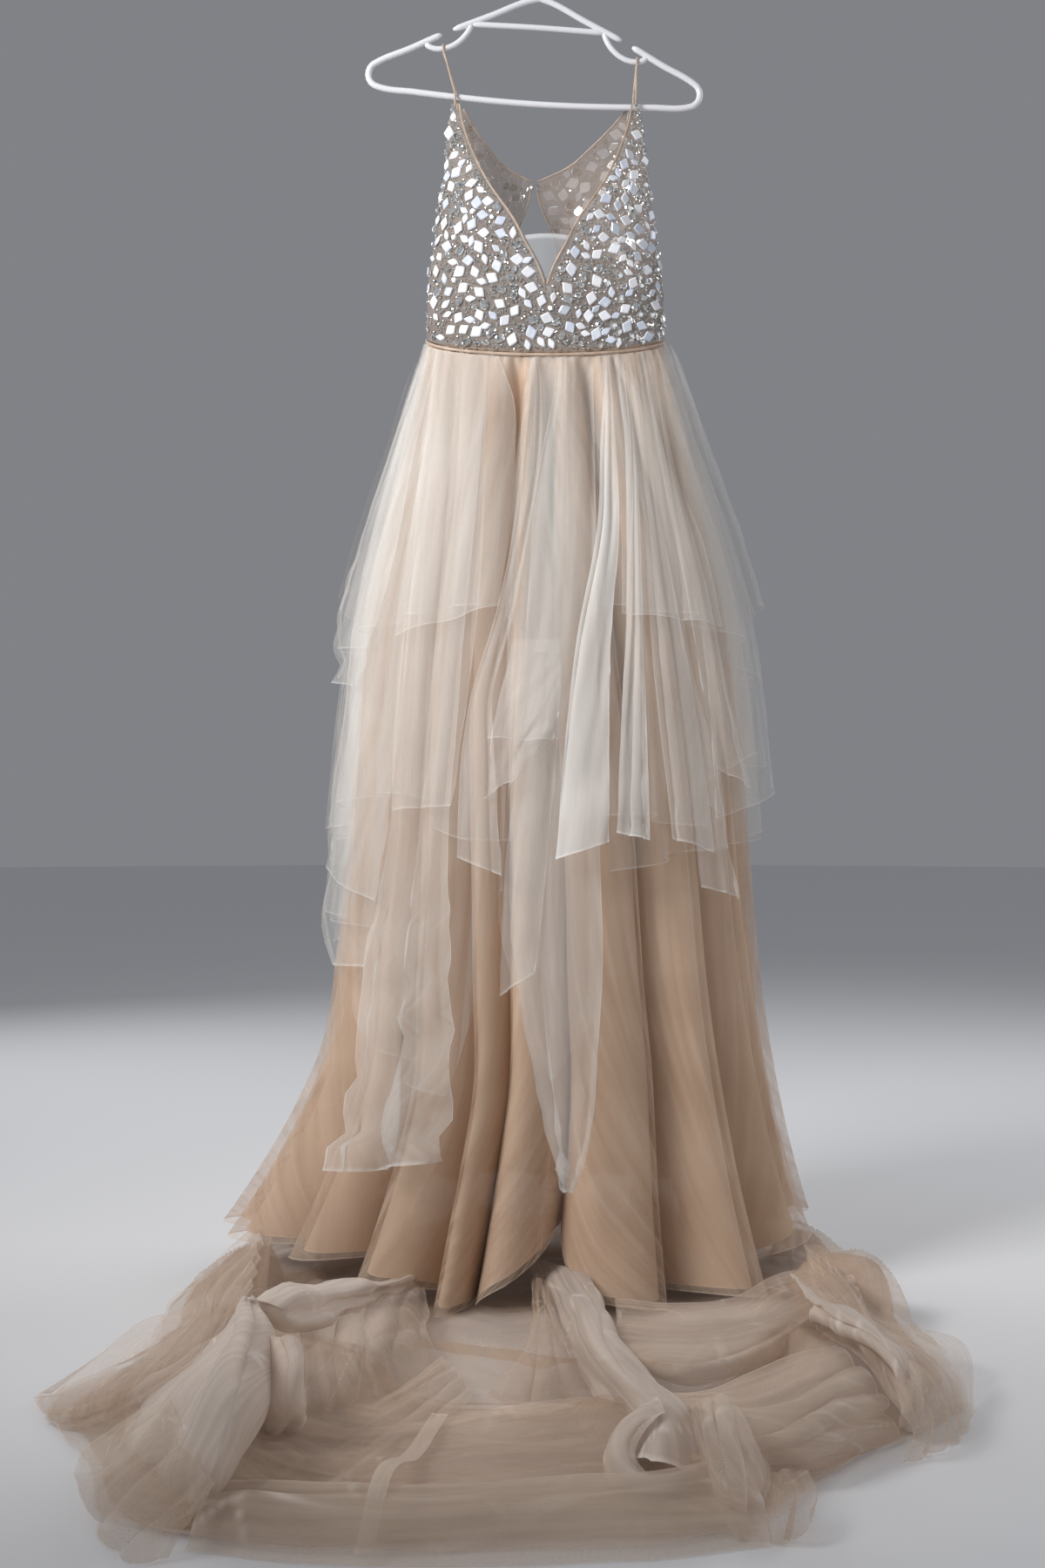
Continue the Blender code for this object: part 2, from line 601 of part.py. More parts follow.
def build_train():
    for word, first, last in (("left", -146.25, -45.0), ("front", -45.0, 33.75),
                              ("right", 33.75, 146.25), ("back", 146.25, 213.75)):
        build_heap("train_" + word, first, last)
    bearing = np.radians(np.arange(0.0, 360.0, TRAIN_STEP))
    middle = FLOOR_Z + FLOOR_LAYER_WALL / 2
    x, y = train_plan(bearing, 0.0)
    reach = 1.0 - FLOOR_LAYER_GAP / np.hypot(x - TRAIN_X, y - TRAIN_Y)
    rows = []
    for share in (0.3, 1.0):
        rows.append(np.stack([TRAIN_X + (x - TRAIN_X) * share * reach,
                              TRAIN_Y + (y - TRAIN_Y) * share * reach,
                              np.full_like(x, middle)], axis=-1))
    layer = cloth("train_floor_layer", np.stack(rows), FLOOR_LAYER_WALL, CHAMPAGNE_TULLE, True)
    shape = bmesh.new()
    shape.from_mesh(layer.data)
    shape.verts.ensure_lookup_table()
    shape.faces.new([shape.verts[place] for place in range(len(bearing))])
    bmesh.ops.recalc_face_normals(shape, faces=shape.faces[:])
    shape.to_mesh(layer.data)
    shape.free()


clear_scene()
GOWN = make_collection("tulle_gown_on_hanger")
CUTTERS = make_collection("cutters")
ROOT = bpy.data.objects.new("hook_seat", None)
GOWN.objects.link(ROOT)
build_hanger()
build_bodice()
build_closure()
build_straps()
build_waist_tape()
build_skirt()
build_train()
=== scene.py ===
import math

import bmesh
import bpy
import numpy as np
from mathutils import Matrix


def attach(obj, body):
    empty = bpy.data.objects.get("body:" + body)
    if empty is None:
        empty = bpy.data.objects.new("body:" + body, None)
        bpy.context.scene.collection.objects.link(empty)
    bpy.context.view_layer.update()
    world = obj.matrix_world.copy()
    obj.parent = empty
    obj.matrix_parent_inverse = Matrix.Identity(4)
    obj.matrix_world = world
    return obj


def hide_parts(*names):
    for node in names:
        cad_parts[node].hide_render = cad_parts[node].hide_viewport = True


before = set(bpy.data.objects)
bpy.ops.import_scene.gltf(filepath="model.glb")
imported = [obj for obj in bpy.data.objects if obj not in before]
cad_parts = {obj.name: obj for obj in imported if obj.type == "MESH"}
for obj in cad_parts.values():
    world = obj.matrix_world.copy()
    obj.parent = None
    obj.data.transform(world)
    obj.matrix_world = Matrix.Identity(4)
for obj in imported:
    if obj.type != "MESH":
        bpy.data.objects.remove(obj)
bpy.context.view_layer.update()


# ---- Hanger ------------------------------------------------------------------
# A white tube hanger, moulded in one shot from glossy plastic. A notch on each
# shoulder keeps a strap from sliding off, and the hook grows out of the apex.

APEX_DROP = 0.060
HANGER_TUBE = 0.004
HOOK_RADIUS = 0.022
HANGER_TILT = math.radians(3.8)


def hermite(xs, ys, x):
    """A smooth curve through (xs, ys), with the slope at each point taken from its
    neighbours. Where x lies outside, the end values hold."""
    xs = np.asarray(xs, float)
    ys = np.asarray(ys, float)
    x = np.clip(x, xs[0], xs[-1])
    slopes = np.gradient(ys, xs, axis=0)
    left = np.clip(np.searchsorted(xs, x, side="right") - 1, 0, len(xs) - 2)
    width = xs[left + 1] - xs[left]
    t = (x - xs[left]) / width
    if ys.ndim == 2:
        width, t = width[..., None], t[..., None]
    return ((2 * t ** 3 - 3 * t ** 2 + 1) * ys[left] + (t ** 3 - 2 * t ** 2 + t) * width * slopes[left]
            + (3 * t ** 2 - 2 * t ** 3) * ys[left + 1] + (t ** 3 - t ** 2) * width * slopes[left + 1])


def step_lengths(points, axis=0):
    """Distances between neighbouring points along one axis of an array of them."""
    return np.linalg.norm(np.diff(points, axis=axis), axis=-1)


def smooth_path(points, count):
    """count points evenly along a smooth curve through the given points."""
    points = np.asarray(points, float)
    along = np.append(0.0, np.cumsum(step_lengths(points)))
    return hermite(along, points, np.linspace(0.0, along[-1], count))


def grid_quads(rows, columns, wrap=False):
    """Quads of a grid whose points run row by row; wrap joins the last column to the first."""
    place = np.arange(rows * columns).reshape(rows, columns)
    if wrap:
        place = np.concatenate([place, place[:, :1]], axis=1)
    return np.stack([place[:-1, :-1], place[:-1, 1:], place[1:, 1:], place[1:, :-1]],
                    axis=-1).reshape(-1, 4)


def mesh_piece(name, points, faces, material, smooth=True):
    """A new object of those points and faces, in its place."""
    mesh = bpy.data.meshes.new(name)
    mesh.from_pydata(np.asarray(points).reshape(-1, 3).tolist(), [],
                     faces if isinstance(faces, list) else faces.tolist())
    mesh.update()
    if smooth:
        mesh.shade_smooth()
    mesh.materials.append(material)
    piece = bpy.data.objects.new(name, mesh)
    bpy.context.scene.collection.objects.link(piece)
    return piece


def unit(vectors):
    """Each vector over its own length."""
    return vectors / np.linalg.norm(vectors, axis=-1, keepdims=True)


def swept_oval(path, across, ahead, wide, thick, sides):
    """An oval carried along a path, wide across it and thick the third way: each ring
    lies across the path, and each end closes on its middle."""
    up = np.cross(across, ahead)
    turn = np.linspace(0.0, 2 * np.pi, sides, endpoint=False)
    wide, thick = (np.broadcast_to(size, len(path))[:, None, None] for size in (wide, thick))
    rings = path[:, None] + (np.cos(turn)[None, :, None] * wide * across[:, None]
                             + np.sin(turn)[None, :, None] * thick * up[:, None])
    points = np.concatenate([rings.reshape(-1, 3), path[:1], path[-1:]])
    first, last = len(points) - 2, len(points) - 1
    end = (len(path) - 1) * sides
    caps = [[first, i, (i + 1) % sides] for i in range(sides)]
    caps += [[last, end + (i + 1) % sides, end + i] for i in range(sides)]
    return points, grid_quads(len(path), sides, wrap=True)[:, ::-1].tolist() + caps


def round_tube(path, radius, sides):
    """A circle carried along a path. radius may be one number or one for each point."""
    path = np.asarray(path, float)
    ahead = unit(np.gradient(path, axis=0))
    across = np.cross(ahead, (0.0, 1.0, 0.0))
    weak = np.linalg.norm(across, axis=1) < 0.2
    across[weak] = np.cross(ahead[weak], (1.0, 0.0, 0.0))
    return swept_oval(path, unit(across), ahead, radius, radius, sides)


def joined(shapes):
    """Several (points, faces) shapes as one."""
    points, faces, start = [], [], 0
    for shape_points, shape_faces in shapes:
        points.append(np.asarray(shape_points).reshape(-1, 3))
        faces += [[corner + start for corner in face] for face in shape_faces]
        start += len(points[-1])
    return np.concatenate(points), faces


def face_outwards(piece):
    """Normals of a closed shape turned outwards."""
    shape = bmesh.new()
    shape.from_mesh(piece.data)
    bmesh.ops.recalc_face_normals(shape, faces=shape.faces[:])
    shape.to_mesh(piece.data)
    shape.free()


class Graph:
    """The nodes of a Principled material. Inputs go by name or number, and each one holds
    a value or is linked to the output socket that is given for it."""

    def __init__(self, name, colour, roughness, inputs):
        self.material = bpy.data.materials.new(name)
        self.material.use_nodes = True
        self.tree = self.material.node_tree
        self.shader = self.tree.nodes["Principled BSDF"]
        self.fill(self.shader, {"Base Color": (*colour, 1.0), "Roughness": roughness, **inputs})

    def fill(self, node, inputs):
        for key, value in inputs.items():
            if isinstance(value, bpy.types.NodeSocket):
                self.tree.links.new(value, node.inputs[key])
            else:
                node.inputs[key].default_value = value

    def add(self, kind, output, inputs, **properties):
        """One output of a new node, once its properties and inputs are set."""
        node = self.tree.nodes.new("ShaderNode" + kind)
        for key, value in properties.items():
            setattr(node, key, value)
        self.fill(node, inputs)
        return node.outputs[output]

    def math(self, operation, *values, clamp=False):
        return self.add("Math", 0, dict(enumerate(values)), operation=operation, use_clamp=clamp)

    def noise(self, scale, detail=2.0, kind="TexNoise", output="Fac"):
        """A texture over the object's own coordinates."""
        inputs = {"Vector": self.add("TexCoord", "Object", {}), "Scale": scale, "Detail": detail}
        return self.add(kind, output, inputs)

    def span(self, value, low, high, start=0.0, end=1.0):
        """A value mapped from start to end onto low to high, and held beyond them."""
        return self.add("MapRange", "Result", {"Value": value, "From Min": start, "From Max": end,
                                               "To Min": low, "To Max": high})

    def tones(self, value, stops, interpolation="LINEAR"):
        """A colour ramp with the lowest stop first, the highest second and any other last."""
        tone = self.tree.nodes.new("ShaderNodeValToRGB")
        tone.color_ramp.interpolation = interpolation
        elements = tone.color_ramp.elements
        for number, (place, colour) in enumerate(stops):
            stop = elements[number] if number < 2 else elements.new(place)
            stop.position = place
            stop.color = (*colour, 1.0)
        self.fill(tone, {"Fac": value})
        return tone.outputs["Color"]

    def relief(self, height, strength, distance):
        return self.add("Bump", "Normal", {"Height": height, "Strength": strength, "Distance": distance})


def finish(piece, node=None):
    """Hangs the piece from the root body and hides the solid it stands for, when one is named."""
    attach(piece, "root")
    if node:
        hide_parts(node)


def on_hanger(x, z):
    """A point of the level hanger, measured from its apex, turned by its tilt."""
    level = z - APEX_DROP
    return (x * math.cos(HANGER_TILT) + level * math.sin(HANGER_TILT), 0.0,
            -x * math.sin(HANGER_TILT) + level * math.cos(HANGER_TILT))


def hanger_arc(x, z, radius, first, last, steps):
    """Points of an arc round (x, z), from one angle in degrees to another."""
    angles = np.radians(np.linspace(first, last, steps))
    return [(x + radius * math.cos(a), z + radius * math.sin(a)) for a in angles]


def white_plastic():
    """White with a faint flow in its gloss and surface, as moulded."""
    graph = Graph("glossy white plastic", (0.80, 0.80, 0.83), 0.22,
                  {"Coat Weight": 0.35, "Coat Roughness": 0.08})
    flow = graph.noise(60.0)
    graph.fill(graph.shader, {"Roughness": graph.span(flow, 0.17, 0.32),
                              "Normal": graph.relief(flow, 0.06, 0.0006)})
    return graph.material


def build_hanger():
    """Tubes along smooth curves in the hanger's plane, each rounded off at its two ends."""
    hook_z = APEX_DROP + HANGER_TUBE - HOOK_RADIUS
    hook = [(0.0, -0.001), (0.0, 0.010), (0.004, 0.018), (0.013, 0.0255)]
    hook += hanger_arc(0.0, hook_z, HOOK_RADIUS, -18, 198, 15)
    half = [(0.121, -0.055), (0.130, -0.0597), (0.159, -0.075)]
    half += hanger_arc(0.1945, -0.1105, 0.0160, 62, -80, 10)
    half += [(0.150, -0.1300), (0.107, -0.1325), (0.050, -0.1348)]
    notch = [(0.0835, -0.0385), (0.0885, -0.050), (0.096, -0.060), (0.107, -0.0685),
             (0.118, -0.0728), (0.128, -0.0735), (0.136, -0.0712), (0.1415, -0.0665)]
    shoulder = [(0.107, -0.048), (0.060, -0.0269), (0.008, -0.0037), (0.0, -0.0018)]
    runs = [(half + [(0.0, -0.1355)] + [(-x, z) for x, z in reversed(half)], 1.0, 220),
            (shoulder + [(-x, z) for x, z in reversed(shoulder[:-1])], 0.97, 60),
            ([(-0.086, -0.0395), (0.0, -0.0385), (0.086, -0.0395)], 0.90, 40),
            (hook, 0.85, 90), (notch, 0.88, 40), ([(-x, z) for x, z in notch], 0.88, 40)]
    shapes = []
    for line, share, count in runs:
        path = smooth_path([on_hanger(x, z) for x, z in line], count)
        ends = np.minimum(np.arange(count), np.arange(count)[::-1]) * 0.0012
        radius = HANGER_TUBE * share * np.sqrt(np.clip(1 - (1 - ends / 0.003).clip(0) ** 2, 0.15, 1))
        shapes.append(round_tube(path, radius, 20))
    points, faces = joined(shapes)
    piece = mesh_piece("hanger_moulding", points, faces, white_plastic())
    face_outwards(piece)
    finish(piece, "hanger")


build_hanger()


# ---- Bodice net --------------------------------------------------------------
# Six panels of fine sheer nude net: centre front, side front and back on each side.
# They are seamed at the princess lines, the sides and the centre.

CENTRE_X = 0.003
WAIST_Z = -0.491
WAIST_DIP = 0.027
DIP_FADE = 0.12
BACK_CLOSURE_X = -0.014
V_FOOT = 0.062
KEYHOLE_FOOT = 0.082
KEYHOLE_TOP = 0.207
PANEL_TOP = 0.292
SEAM_HALF = 0.0002

#  height above the waist seam, half width, front depth, back depth, armhole angle
BODICE_RINGS = np.array([
    (0.000, 0.1505, 0.046, 0.044, 0.0),
    (0.070, 0.1480, 0.058, 0.045, 0.0),
    (0.125, 0.1405, 0.068, 0.045, 0.0),
    (0.171, 0.1345, 0.062, 0.042, 0.0),
    (0.195, 0.1310, 0.056, 0.040, 8.0),
    (0.263, 0.1330, 0.034, 0.026, 22.0),
    (0.293, 0.1320, 0.021, 0.017, 26.0),
])
#  height above the waist seam, distance from the centre line
V_NECK = np.array([
    (0.062, 0.0003), (0.085, 0.011), (0.110, 0.028), (0.135, 0.042),
    (0.180, 0.071), (0.227, 0.093), (0.270, 0.1065), (0.292, 0.1100),
])
KEYHOLE = np.array([
    (0.082, 0.0003), (0.086, 0.014), (0.092, 0.026), (0.106, 0.031), (0.128, 0.029),
    (0.153, 0.020), (0.188, 0.007), (0.207, 0.0045),
])
BACK_NECK = np.array([
    (0.207, 0.0045), (0.212, 0.016), (0.222, 0.037), (0.247, 0.066), (0.269, 0.087),
    (0.292, 0.1050),
])
PRINCESS = np.array([(0.0, 0.085), (0.12, 0.078), (0.20, 0.094), (0.292, 0.1145)])


def table_at(table, where, column):
    """A column of a table at places along its first one."""
    return hermite(table[:, 0], table[:, column], where)


def bodice_point(bearing, height, front, outward=0.0):
    """The bodice as a flattened ring: x is the half width times the bearing's sine,
    y the front or back depth times its cosine, and the seam dips to the front."""
    half_width = table_at(BODICE_RINGS, height, 1) + outward
    depth = table_at(BODICE_RINGS, height, 2 if front else 3) + outward
    dip = WAIST_DIP * np.cos(bearing).clip(0) * np.clip(1.0 - height / DIP_FADE, 0, None)
    return np.stack([CENTRE_X + half_width * np.sin(bearing),
                     (-depth if front else depth) * np.cos(bearing),
                     WAIST_Z + height - (dip if front else 0.0)], axis=-1)


def bearing_of(x, height):
    """Bearing whose sine times the half width is x."""
    return np.arcsin(np.clip(x / table_at(BODICE_RINGS, height, 1), -1.0, 1.0))


def armhole_of(height):
    """Bearing of a panel's outer edge: a side seam, then an armhole."""
    return np.radians(89.7 - table_at(BODICE_RINGS, height, 4).clip(0))


def back_edge(height, side):
    """Distance of a back panel's inner edge: the seam, then the keyhole, then the neckline."""
    edge = np.where(height < KEYHOLE_TOP, table_at(KEYHOLE, height, 1), table_at(BACK_NECK, height, 1))
    fade = 1.0 - np.clip((height - KEYHOLE_TOP) / 0.085, 0.0, 1.0)
    return np.where(height < KEYHOLE_FOOT, SEAM_HALF, edge) + side * BACK_CLOSURE_X * fade


def set_uv(piece, flat):
    """One UV place for each vertex, in metres of cloth."""
    layer = piece.data.uv_layers.new(name="cloth")
    corners = np.empty(len(piece.data.loops), np.int32)
    piece.data.loops.foreach_get("vertex_index", corners)
    layer.data.foreach_set("uv", np.asarray(flat).reshape(-1, 2)[corners].ravel())


def set_attribute(piece, name, values):
    """One number for each vertex."""
    layer = piece.data.attributes.new(name, "FLOAT", "POINT")
    layer.data.foreach_set("value", np.asarray(values, np.float32).ravel())


def cloth_uv(points):
    """Flat places of a grid's points: distance along each row and down each column."""
    across, down = step_lengths(points, 1), step_lengths(points, 0)
    u = np.concatenate([np.zeros((len(points), 1)), np.cumsum(across, axis=1)], axis=1)
    v = np.concatenate([np.zeros((1, points.shape[1])), np.cumsum(down, axis=0)], axis=0)
    return np.stack([u - u[:, -1:] / 2, v], axis=-1)


def net_weave(graph, pitch):
    """Thread cover of a diamond net, from 0 in a hole to 1 on a thread."""
    split = graph.add("SeparateXYZ", 0, {0: graph.add("UVMap", "UV", {}, uv_map="cloth")}).node
    waves = []
    for operation in ("ADD", "SUBTRACT"):
        slant = graph.math(operation, split.outputs["X"], split.outputs["Y"])
        wave = graph.math("SINE", graph.math("MULTIPLY", slant, math.pi / pitch))
        waves.append(graph.math("ABSOLUTE", wave))
    return graph.span(graph.math("MINIMUM", *waves), 0.0, 1.0, 0.75, 0.15)


def sheer(name, colour, deep_colour, hole_cover, thread_cover, pitch, sheen, cloud=8.0, pleats=0.0):
    """Sheer cloth: threads of a net more solid than its holes, denser at its raw edges and folds
    and painted lighter there as a highlight, cloudy in its colour and streaked by fine pleats along its
    fall."""
    graph = Graph(name, colour, 0.75, {"Sheen Weight": sheen, "Sheen Roughness": 0.35,
                                       "Specular IOR Level": 0.25})
    edge = graph.add("Attribute", "Fac", {}, attribute_name="edge")
    cloth = graph.add("UVMap", "UV", {}, uv_map="cloth")
    stretched = graph.add("Mapping", "Vector", {"Vector": cloth, "Scale": (70.0, 2.5, 1.0)})
    streaks = graph.add("TexNoise", "Fac", {"Vector": stretched, "Scale": 1.0, "Detail": 2.0})
    cover = graph.math("ADD", graph.span(net_weave(graph, pitch), hole_cover, thread_cover),
                       graph.span(streaks, -pleats, pleats, 0.35, 0.65))
    tone = graph.tones(graph.math("MULTIPLY_ADD", streaks, 0.45, graph.noise(cloud, 3.0)),
                       ((0.5, deep_colour), (0.9, colour)))
    # The colour is painted lighter where the edge value is high. This is a painted highlight at raw edges,
    # fold turns and crumple ridges, and the lighter tone of denser cloth where a panel adds density.
    light = 1.0 - 0.35 * (1.0 - np.array(colour))
    graph.fill(graph.shader, {
        "Alpha": graph.math("ADD", cover, edge, clamp=True),
        "Base Color": graph.add("Mix", 2, {0: edge, 6: tone, 7: (*light, 1.0)}, data_type="RGBA")})
    return graph.material


def sheet_piece(name, points, material, node=None, edge=None, falls_along=0):
    """A sheet of cloth through a grid of points, with its flat places and edge density, which also paints a
    highlight at raw edges and folds.
    Falls along says which way of the grid its pleats run: 0 down its columns, 1 its rows."""
    points = np.asarray(points)
    piece = mesh_piece(name, points, grid_quads(*points.shape[:2]), material)
    flat = cloth_uv(points)
    set_uv(piece, flat[..., ::-1] if falls_along else flat)
    set_attribute(piece, "edge", np.zeros(points.shape[:2]) if edge is None else edge)
    finish(piece, node)
    return piece


def panel_points(heights, inner, outer_bearing, side, front, columns):
    """A panel from its inner edge, a distance from the centre, to an outer bearing."""
    start = bearing_of(inner, heights)[:, None]
    share = 1.0 - np.linspace(1.0, 0.0, columns)[None, :] ** 1.5
    bearing = side * (start * (1 - share) + outer_bearing[:, None] * share)
    return bodice_point(bearing, np.broadcast_to(heights[:, None], bearing.shape), front)


def front_edge(height):
    """Distance of a front panel's inner edge: the seam, then the V."""
    return np.where(height < V_FOOT, SEAM_HALF, table_at(V_NECK, height, 1).clip(SEAM_HALF))


def build_bodice_net():
    """Grids between a panel's two edges, closer together near the outer one."""
    net = sheer("nude net", (0.40, 0.335, 0.29), (0.30, 0.25, 0.215), 0.28, 0.70, 0.0013, 0.15, 20.0)
    back_net = sheer("back net", (0.44, 0.345, 0.28), (0.35, 0.27, 0.215), 0.32, 0.72, 0.0013, 0.15, 20.0)
    front_rows = np.linspace(0.0, PANEL_TOP, 60)
    seam = table_at(PRINCESS, front_rows, 1)
    above = KEYHOLE_TOP + (PANEL_TOP - KEYHOLE_TOP) * np.linspace(0.0, 1.0, 41)[1:] ** 1.6
    back_rows = np.concatenate([np.linspace(0.0, KEYHOLE_TOP, 50), above])
    for word, side in (("left", -1.0), ("right", 1.0)):
        for name, inner, outer, rows, front in (
                ("bodice_front_", front_edge(front_rows), bearing_of(seam - SEAM_HALF, front_rows),
                 front_rows, True),
                ("bodice_side_front_", seam + SEAM_HALF, armhole_of(front_rows), front_rows, True),
                ("bodice_back_", back_edge(back_rows, side), armhole_of(back_rows),
                 back_rows, False)):
            points = panel_points(rows, inner, outer, side, front, 40)
            piece = sheet_piece(name + word + "_net", points, net if front else back_net,
                                name + word)


build_bodice_net()


# ---- Bodice stones -----------------------------------------------------------
# Flat pearl-white kites and leaves and foil-backed clear crystals, sewn to the net
# through their corners, with small crystals and bugle beads filling between them.

STONE_LIFT = 0.0009
STONES_TOP = 0.293


def bodice_frame(bearing, height, front):
    """Place, outward direction and two directions along the surface, by differences."""
    small = 1e-4
    along = bodice_point(bearing + small, height, front) - bodice_point(bearing - small, height, front)
    rise = bodice_point(bearing, height + small, front) - bodice_point(bearing, height - small, front)
    along = unit(along)
    out = unit(np.cross(along, rise) * (1.0 if front else -1.0))
    return bodice_point(bearing, height, front), out, along, np.cross(out, along)


def bodice_room(bearing, height, front, reach):
    """True where a stone of that reach stays on its panel, clear of the bound edges and,
    beside the armhole, further in by its own reach."""
    distance = table_at(BODICE_RINGS, height, 1) * np.sin(np.abs(bearing))
    if front:
        inner = np.where(height < 0.058, -1.0, front_edge(height) + reach * 1.1 + 0.001)
    else:
        side = np.sign(bearing)
        edge = np.where(side < 0, back_edge(height, -1.0), back_edge(height, 1.0))
        inner = edge + reach + 0.001
    arm = np.pi / 2 - np.radians(table_at(BODICE_RINGS, height, 4).clip(0))
    free = (height > 0.19) * reach * 0.8 / 0.13
    return ((distance > inner) & (np.abs(bearing) < arm - free) & (height > reach * 0.75 + 0.001)
            & (height < STONES_TOP - reach * 0.6))


def sew_stones(front, kinds, seed):
    """Stones dropped at random, kind by kind from the largest, each kept where it lies
    no closer to those before it than their two reaches allow. Gives, for each kind,
    bearing, height and turn."""
    draw = np.random.RandomState(seed)
    places = np.zeros((0, 3))
    reaches = np.zeros(0)
    sewn = {}
    for name, reach, close, tries in kinds:
        bearing = np.arcsin(draw.uniform(-1.0, 1.0, tries)) * 0.35 + draw.uniform(-1.57, 1.57, tries) * 0.65
        height = draw.uniform(0.0, STONES_TOP, tries)
        fits = bodice_room(bearing, height, front, reach)
        bearing, height = bearing[fits], height[fits]
        spots = bodice_point(bearing, height, front)
        kept = []
        for number, spot in enumerate(spots):
            gap = np.linalg.norm(places - spot, axis=1) - (reaches + reach) * close
            if len(gap) == 0 or gap.min() > 0:
                kept.append(number)
                places = np.concatenate([places, spot[None]])
                reaches = np.append(reaches, reach)
        sewn[name] = np.stack([bearing[kept], height[kept],
                               draw.uniform(0, 2 * np.pi, len(kept))], axis=-1)
    return sewn


def stone_rings(levels):
    """Points of a stone's rings, each a flat outline at its own height."""
    return np.concatenate([np.column_stack([ring, np.full(len(ring), z)]) for ring, z in levels])


def plate(outline, rings):
    """A flat stone: rings of one outline, each with its scale and height, closed by a
    face on its back and one on its table."""
    count = len(outline)
    points = stone_rings([(outline * scale, z) for scale, z in rings])
    faces = grid_quads(len(rings), count, wrap=True).tolist()
    faces += [list(range(count))[::-1], list(range(count * (len(rings) - 1), count * len(rings)))]
    return points, faces


def brilliant(length, width, sides, tall):
    """A faceted stone: a girdle, a crown of kites and triangles, and a small table."""
    turn = np.linspace(0, 2 * np.pi, sides, endpoint=False)
    rim, middle, table = (
        share * np.column_stack([length * np.cos(turn + shift), width * np.sin(turn + shift)])
        for share, shift in ((1.0, 0.0), (0.80, np.pi / sides), (0.50, 0.0)))
    points = stone_rings([(rim, 0.0), (rim, 0.25 * tall), (middle, 0.66 * tall), (table, tall)])
    faces = [list(range(sides))[::-1], list(range(3 * sides, 4 * sides))]
    for i in range(sides):
        j = (i + 1) % sides
        faces += [[i, j, sides + j, sides + i], [sides + i, sides + j, 2 * sides + i],
                  [sides + j, 2 * sides + j, 2 * sides + i],
                  [2 * sides + i, 2 * sides + j, 3 * sides + j],
                  [2 * sides + i, 3 * sides + j, 3 * sides + i]]
    return points, faces


def soft_outline(corners, round_by, steps=3):
    """A polygon whose corners are cut by short arcs and whose sides bow out a little."""
    corners = np.asarray(corners, float)
    before, after = np.roll(corners, 1, axis=0), np.roll(corners, -1, axis=0)
    run = []
    for share in np.linspace(0.0, 1.0, steps):
        near, far = corners + (before - corners) * round_by, corners + (after - corners) * round_by
        run.append(near * (1 - share) ** 2 + 2 * corners * share * (1 - share) + far * share ** 2)
    run.append((corners + after) / 2 * 1.04)
    return np.stack(run, axis=1).reshape(-1, 2)


def set_stones(name, front, sewn, shape, material, slot, tilt, seed):
    """One mesh of a shape repeated at every sewn place, turned and slightly tilted."""
    bearing, height, turn = sewn.T
    place, out, along, up = bodice_frame(bearing, height, front)
    draw = np.random.RandomState(seed)
    lean = draw.normal(0.0, tilt, (len(bearing), 2))
    size = draw.uniform(0.88, 1.08, len(bearing))
    out = unit(out + lean[:, :1] * along + lean[:, 1:] * up)
    first = np.cos(turn)[:, None] * along + np.sin(turn)[:, None] * up
    first = unit(first - (first * out).sum(1)[:, None] * out)
    second = np.cross(out, first)
    points, faces = shape
    points = points[None] * size[:, None, None]
    world = (place + out * STONE_LIFT)[:, None] + (points[..., :1] * first[:, None]
                                                    + points[..., 1:2] * second[:, None]
                                                    + points[..., 2:] * out[:, None])
    many = [[corner + len(shape[0]) * k for corner in face]
            for k in range(len(bearing)) for face in faces]
    piece = mesh_piece(name, world, many, material, smooth=False)
    set_attribute(piece, "stone", np.repeat(draw.uniform(0, 1, len(bearing)), len(shape[0])))
    finish(piece)


def pearl_stone():
    """Pearl white, from blue-grey to near white by stone and by place."""
    graph = Graph("pearl stone", (0.82, 0.84, 0.88), 0.16, {"Coat Weight": 0.8, "Coat Roughness": 0.05})
    each = graph.math("MULTIPLY", graph.add("Attribute", "Fac", {}, attribute_name="stone"), 0.7)
    nacre = graph.math("MULTIPLY_ADD", graph.noise(160.0), 0.5, each)
    graph.fill(graph.shader, {"Base Color": graph.tones(nacre, (
        (0.25, (0.62, 0.68, 0.80)), (1.0, (0.93, 0.93, 0.95)), (0.6, (0.86, 0.87, 0.92))))})
    return graph.material


def clear_stone():
    """Foil-backed glass: small cells of painted dark reflection, mid and painted glint, shifted from stone
    to stone.
    """
    graph = Graph("foil-backed crystal", (0.78, 0.80, 0.80), 0.05,
                  {"Metallic": 0.85, "Coat Weight": 1.0, "Coat Roughness": 0.02})
    each = graph.math("MULTIPLY", graph.add("Attribute", "Fac", {}, attribute_name="stone"), 0.35)
    cells = graph.noise(420.0, 0.0, "TexVoronoi", "Color")
    painted_glint = graph.math("ADD", graph.add("SeparateColor", 0, {0: cells}), each)
    # The dark, mid and bright cells are painted reflection: dark facets and glints.
    graph.fill(graph.shader, {"Base Color": graph.tones(painted_glint, (
        (0.0, (0.30, 0.30, 0.28)), (0.55, (0.90, 0.92, 0.93)), (0.30, (0.68, 0.68, 0.64))), "CONSTANT")})
    return graph.material


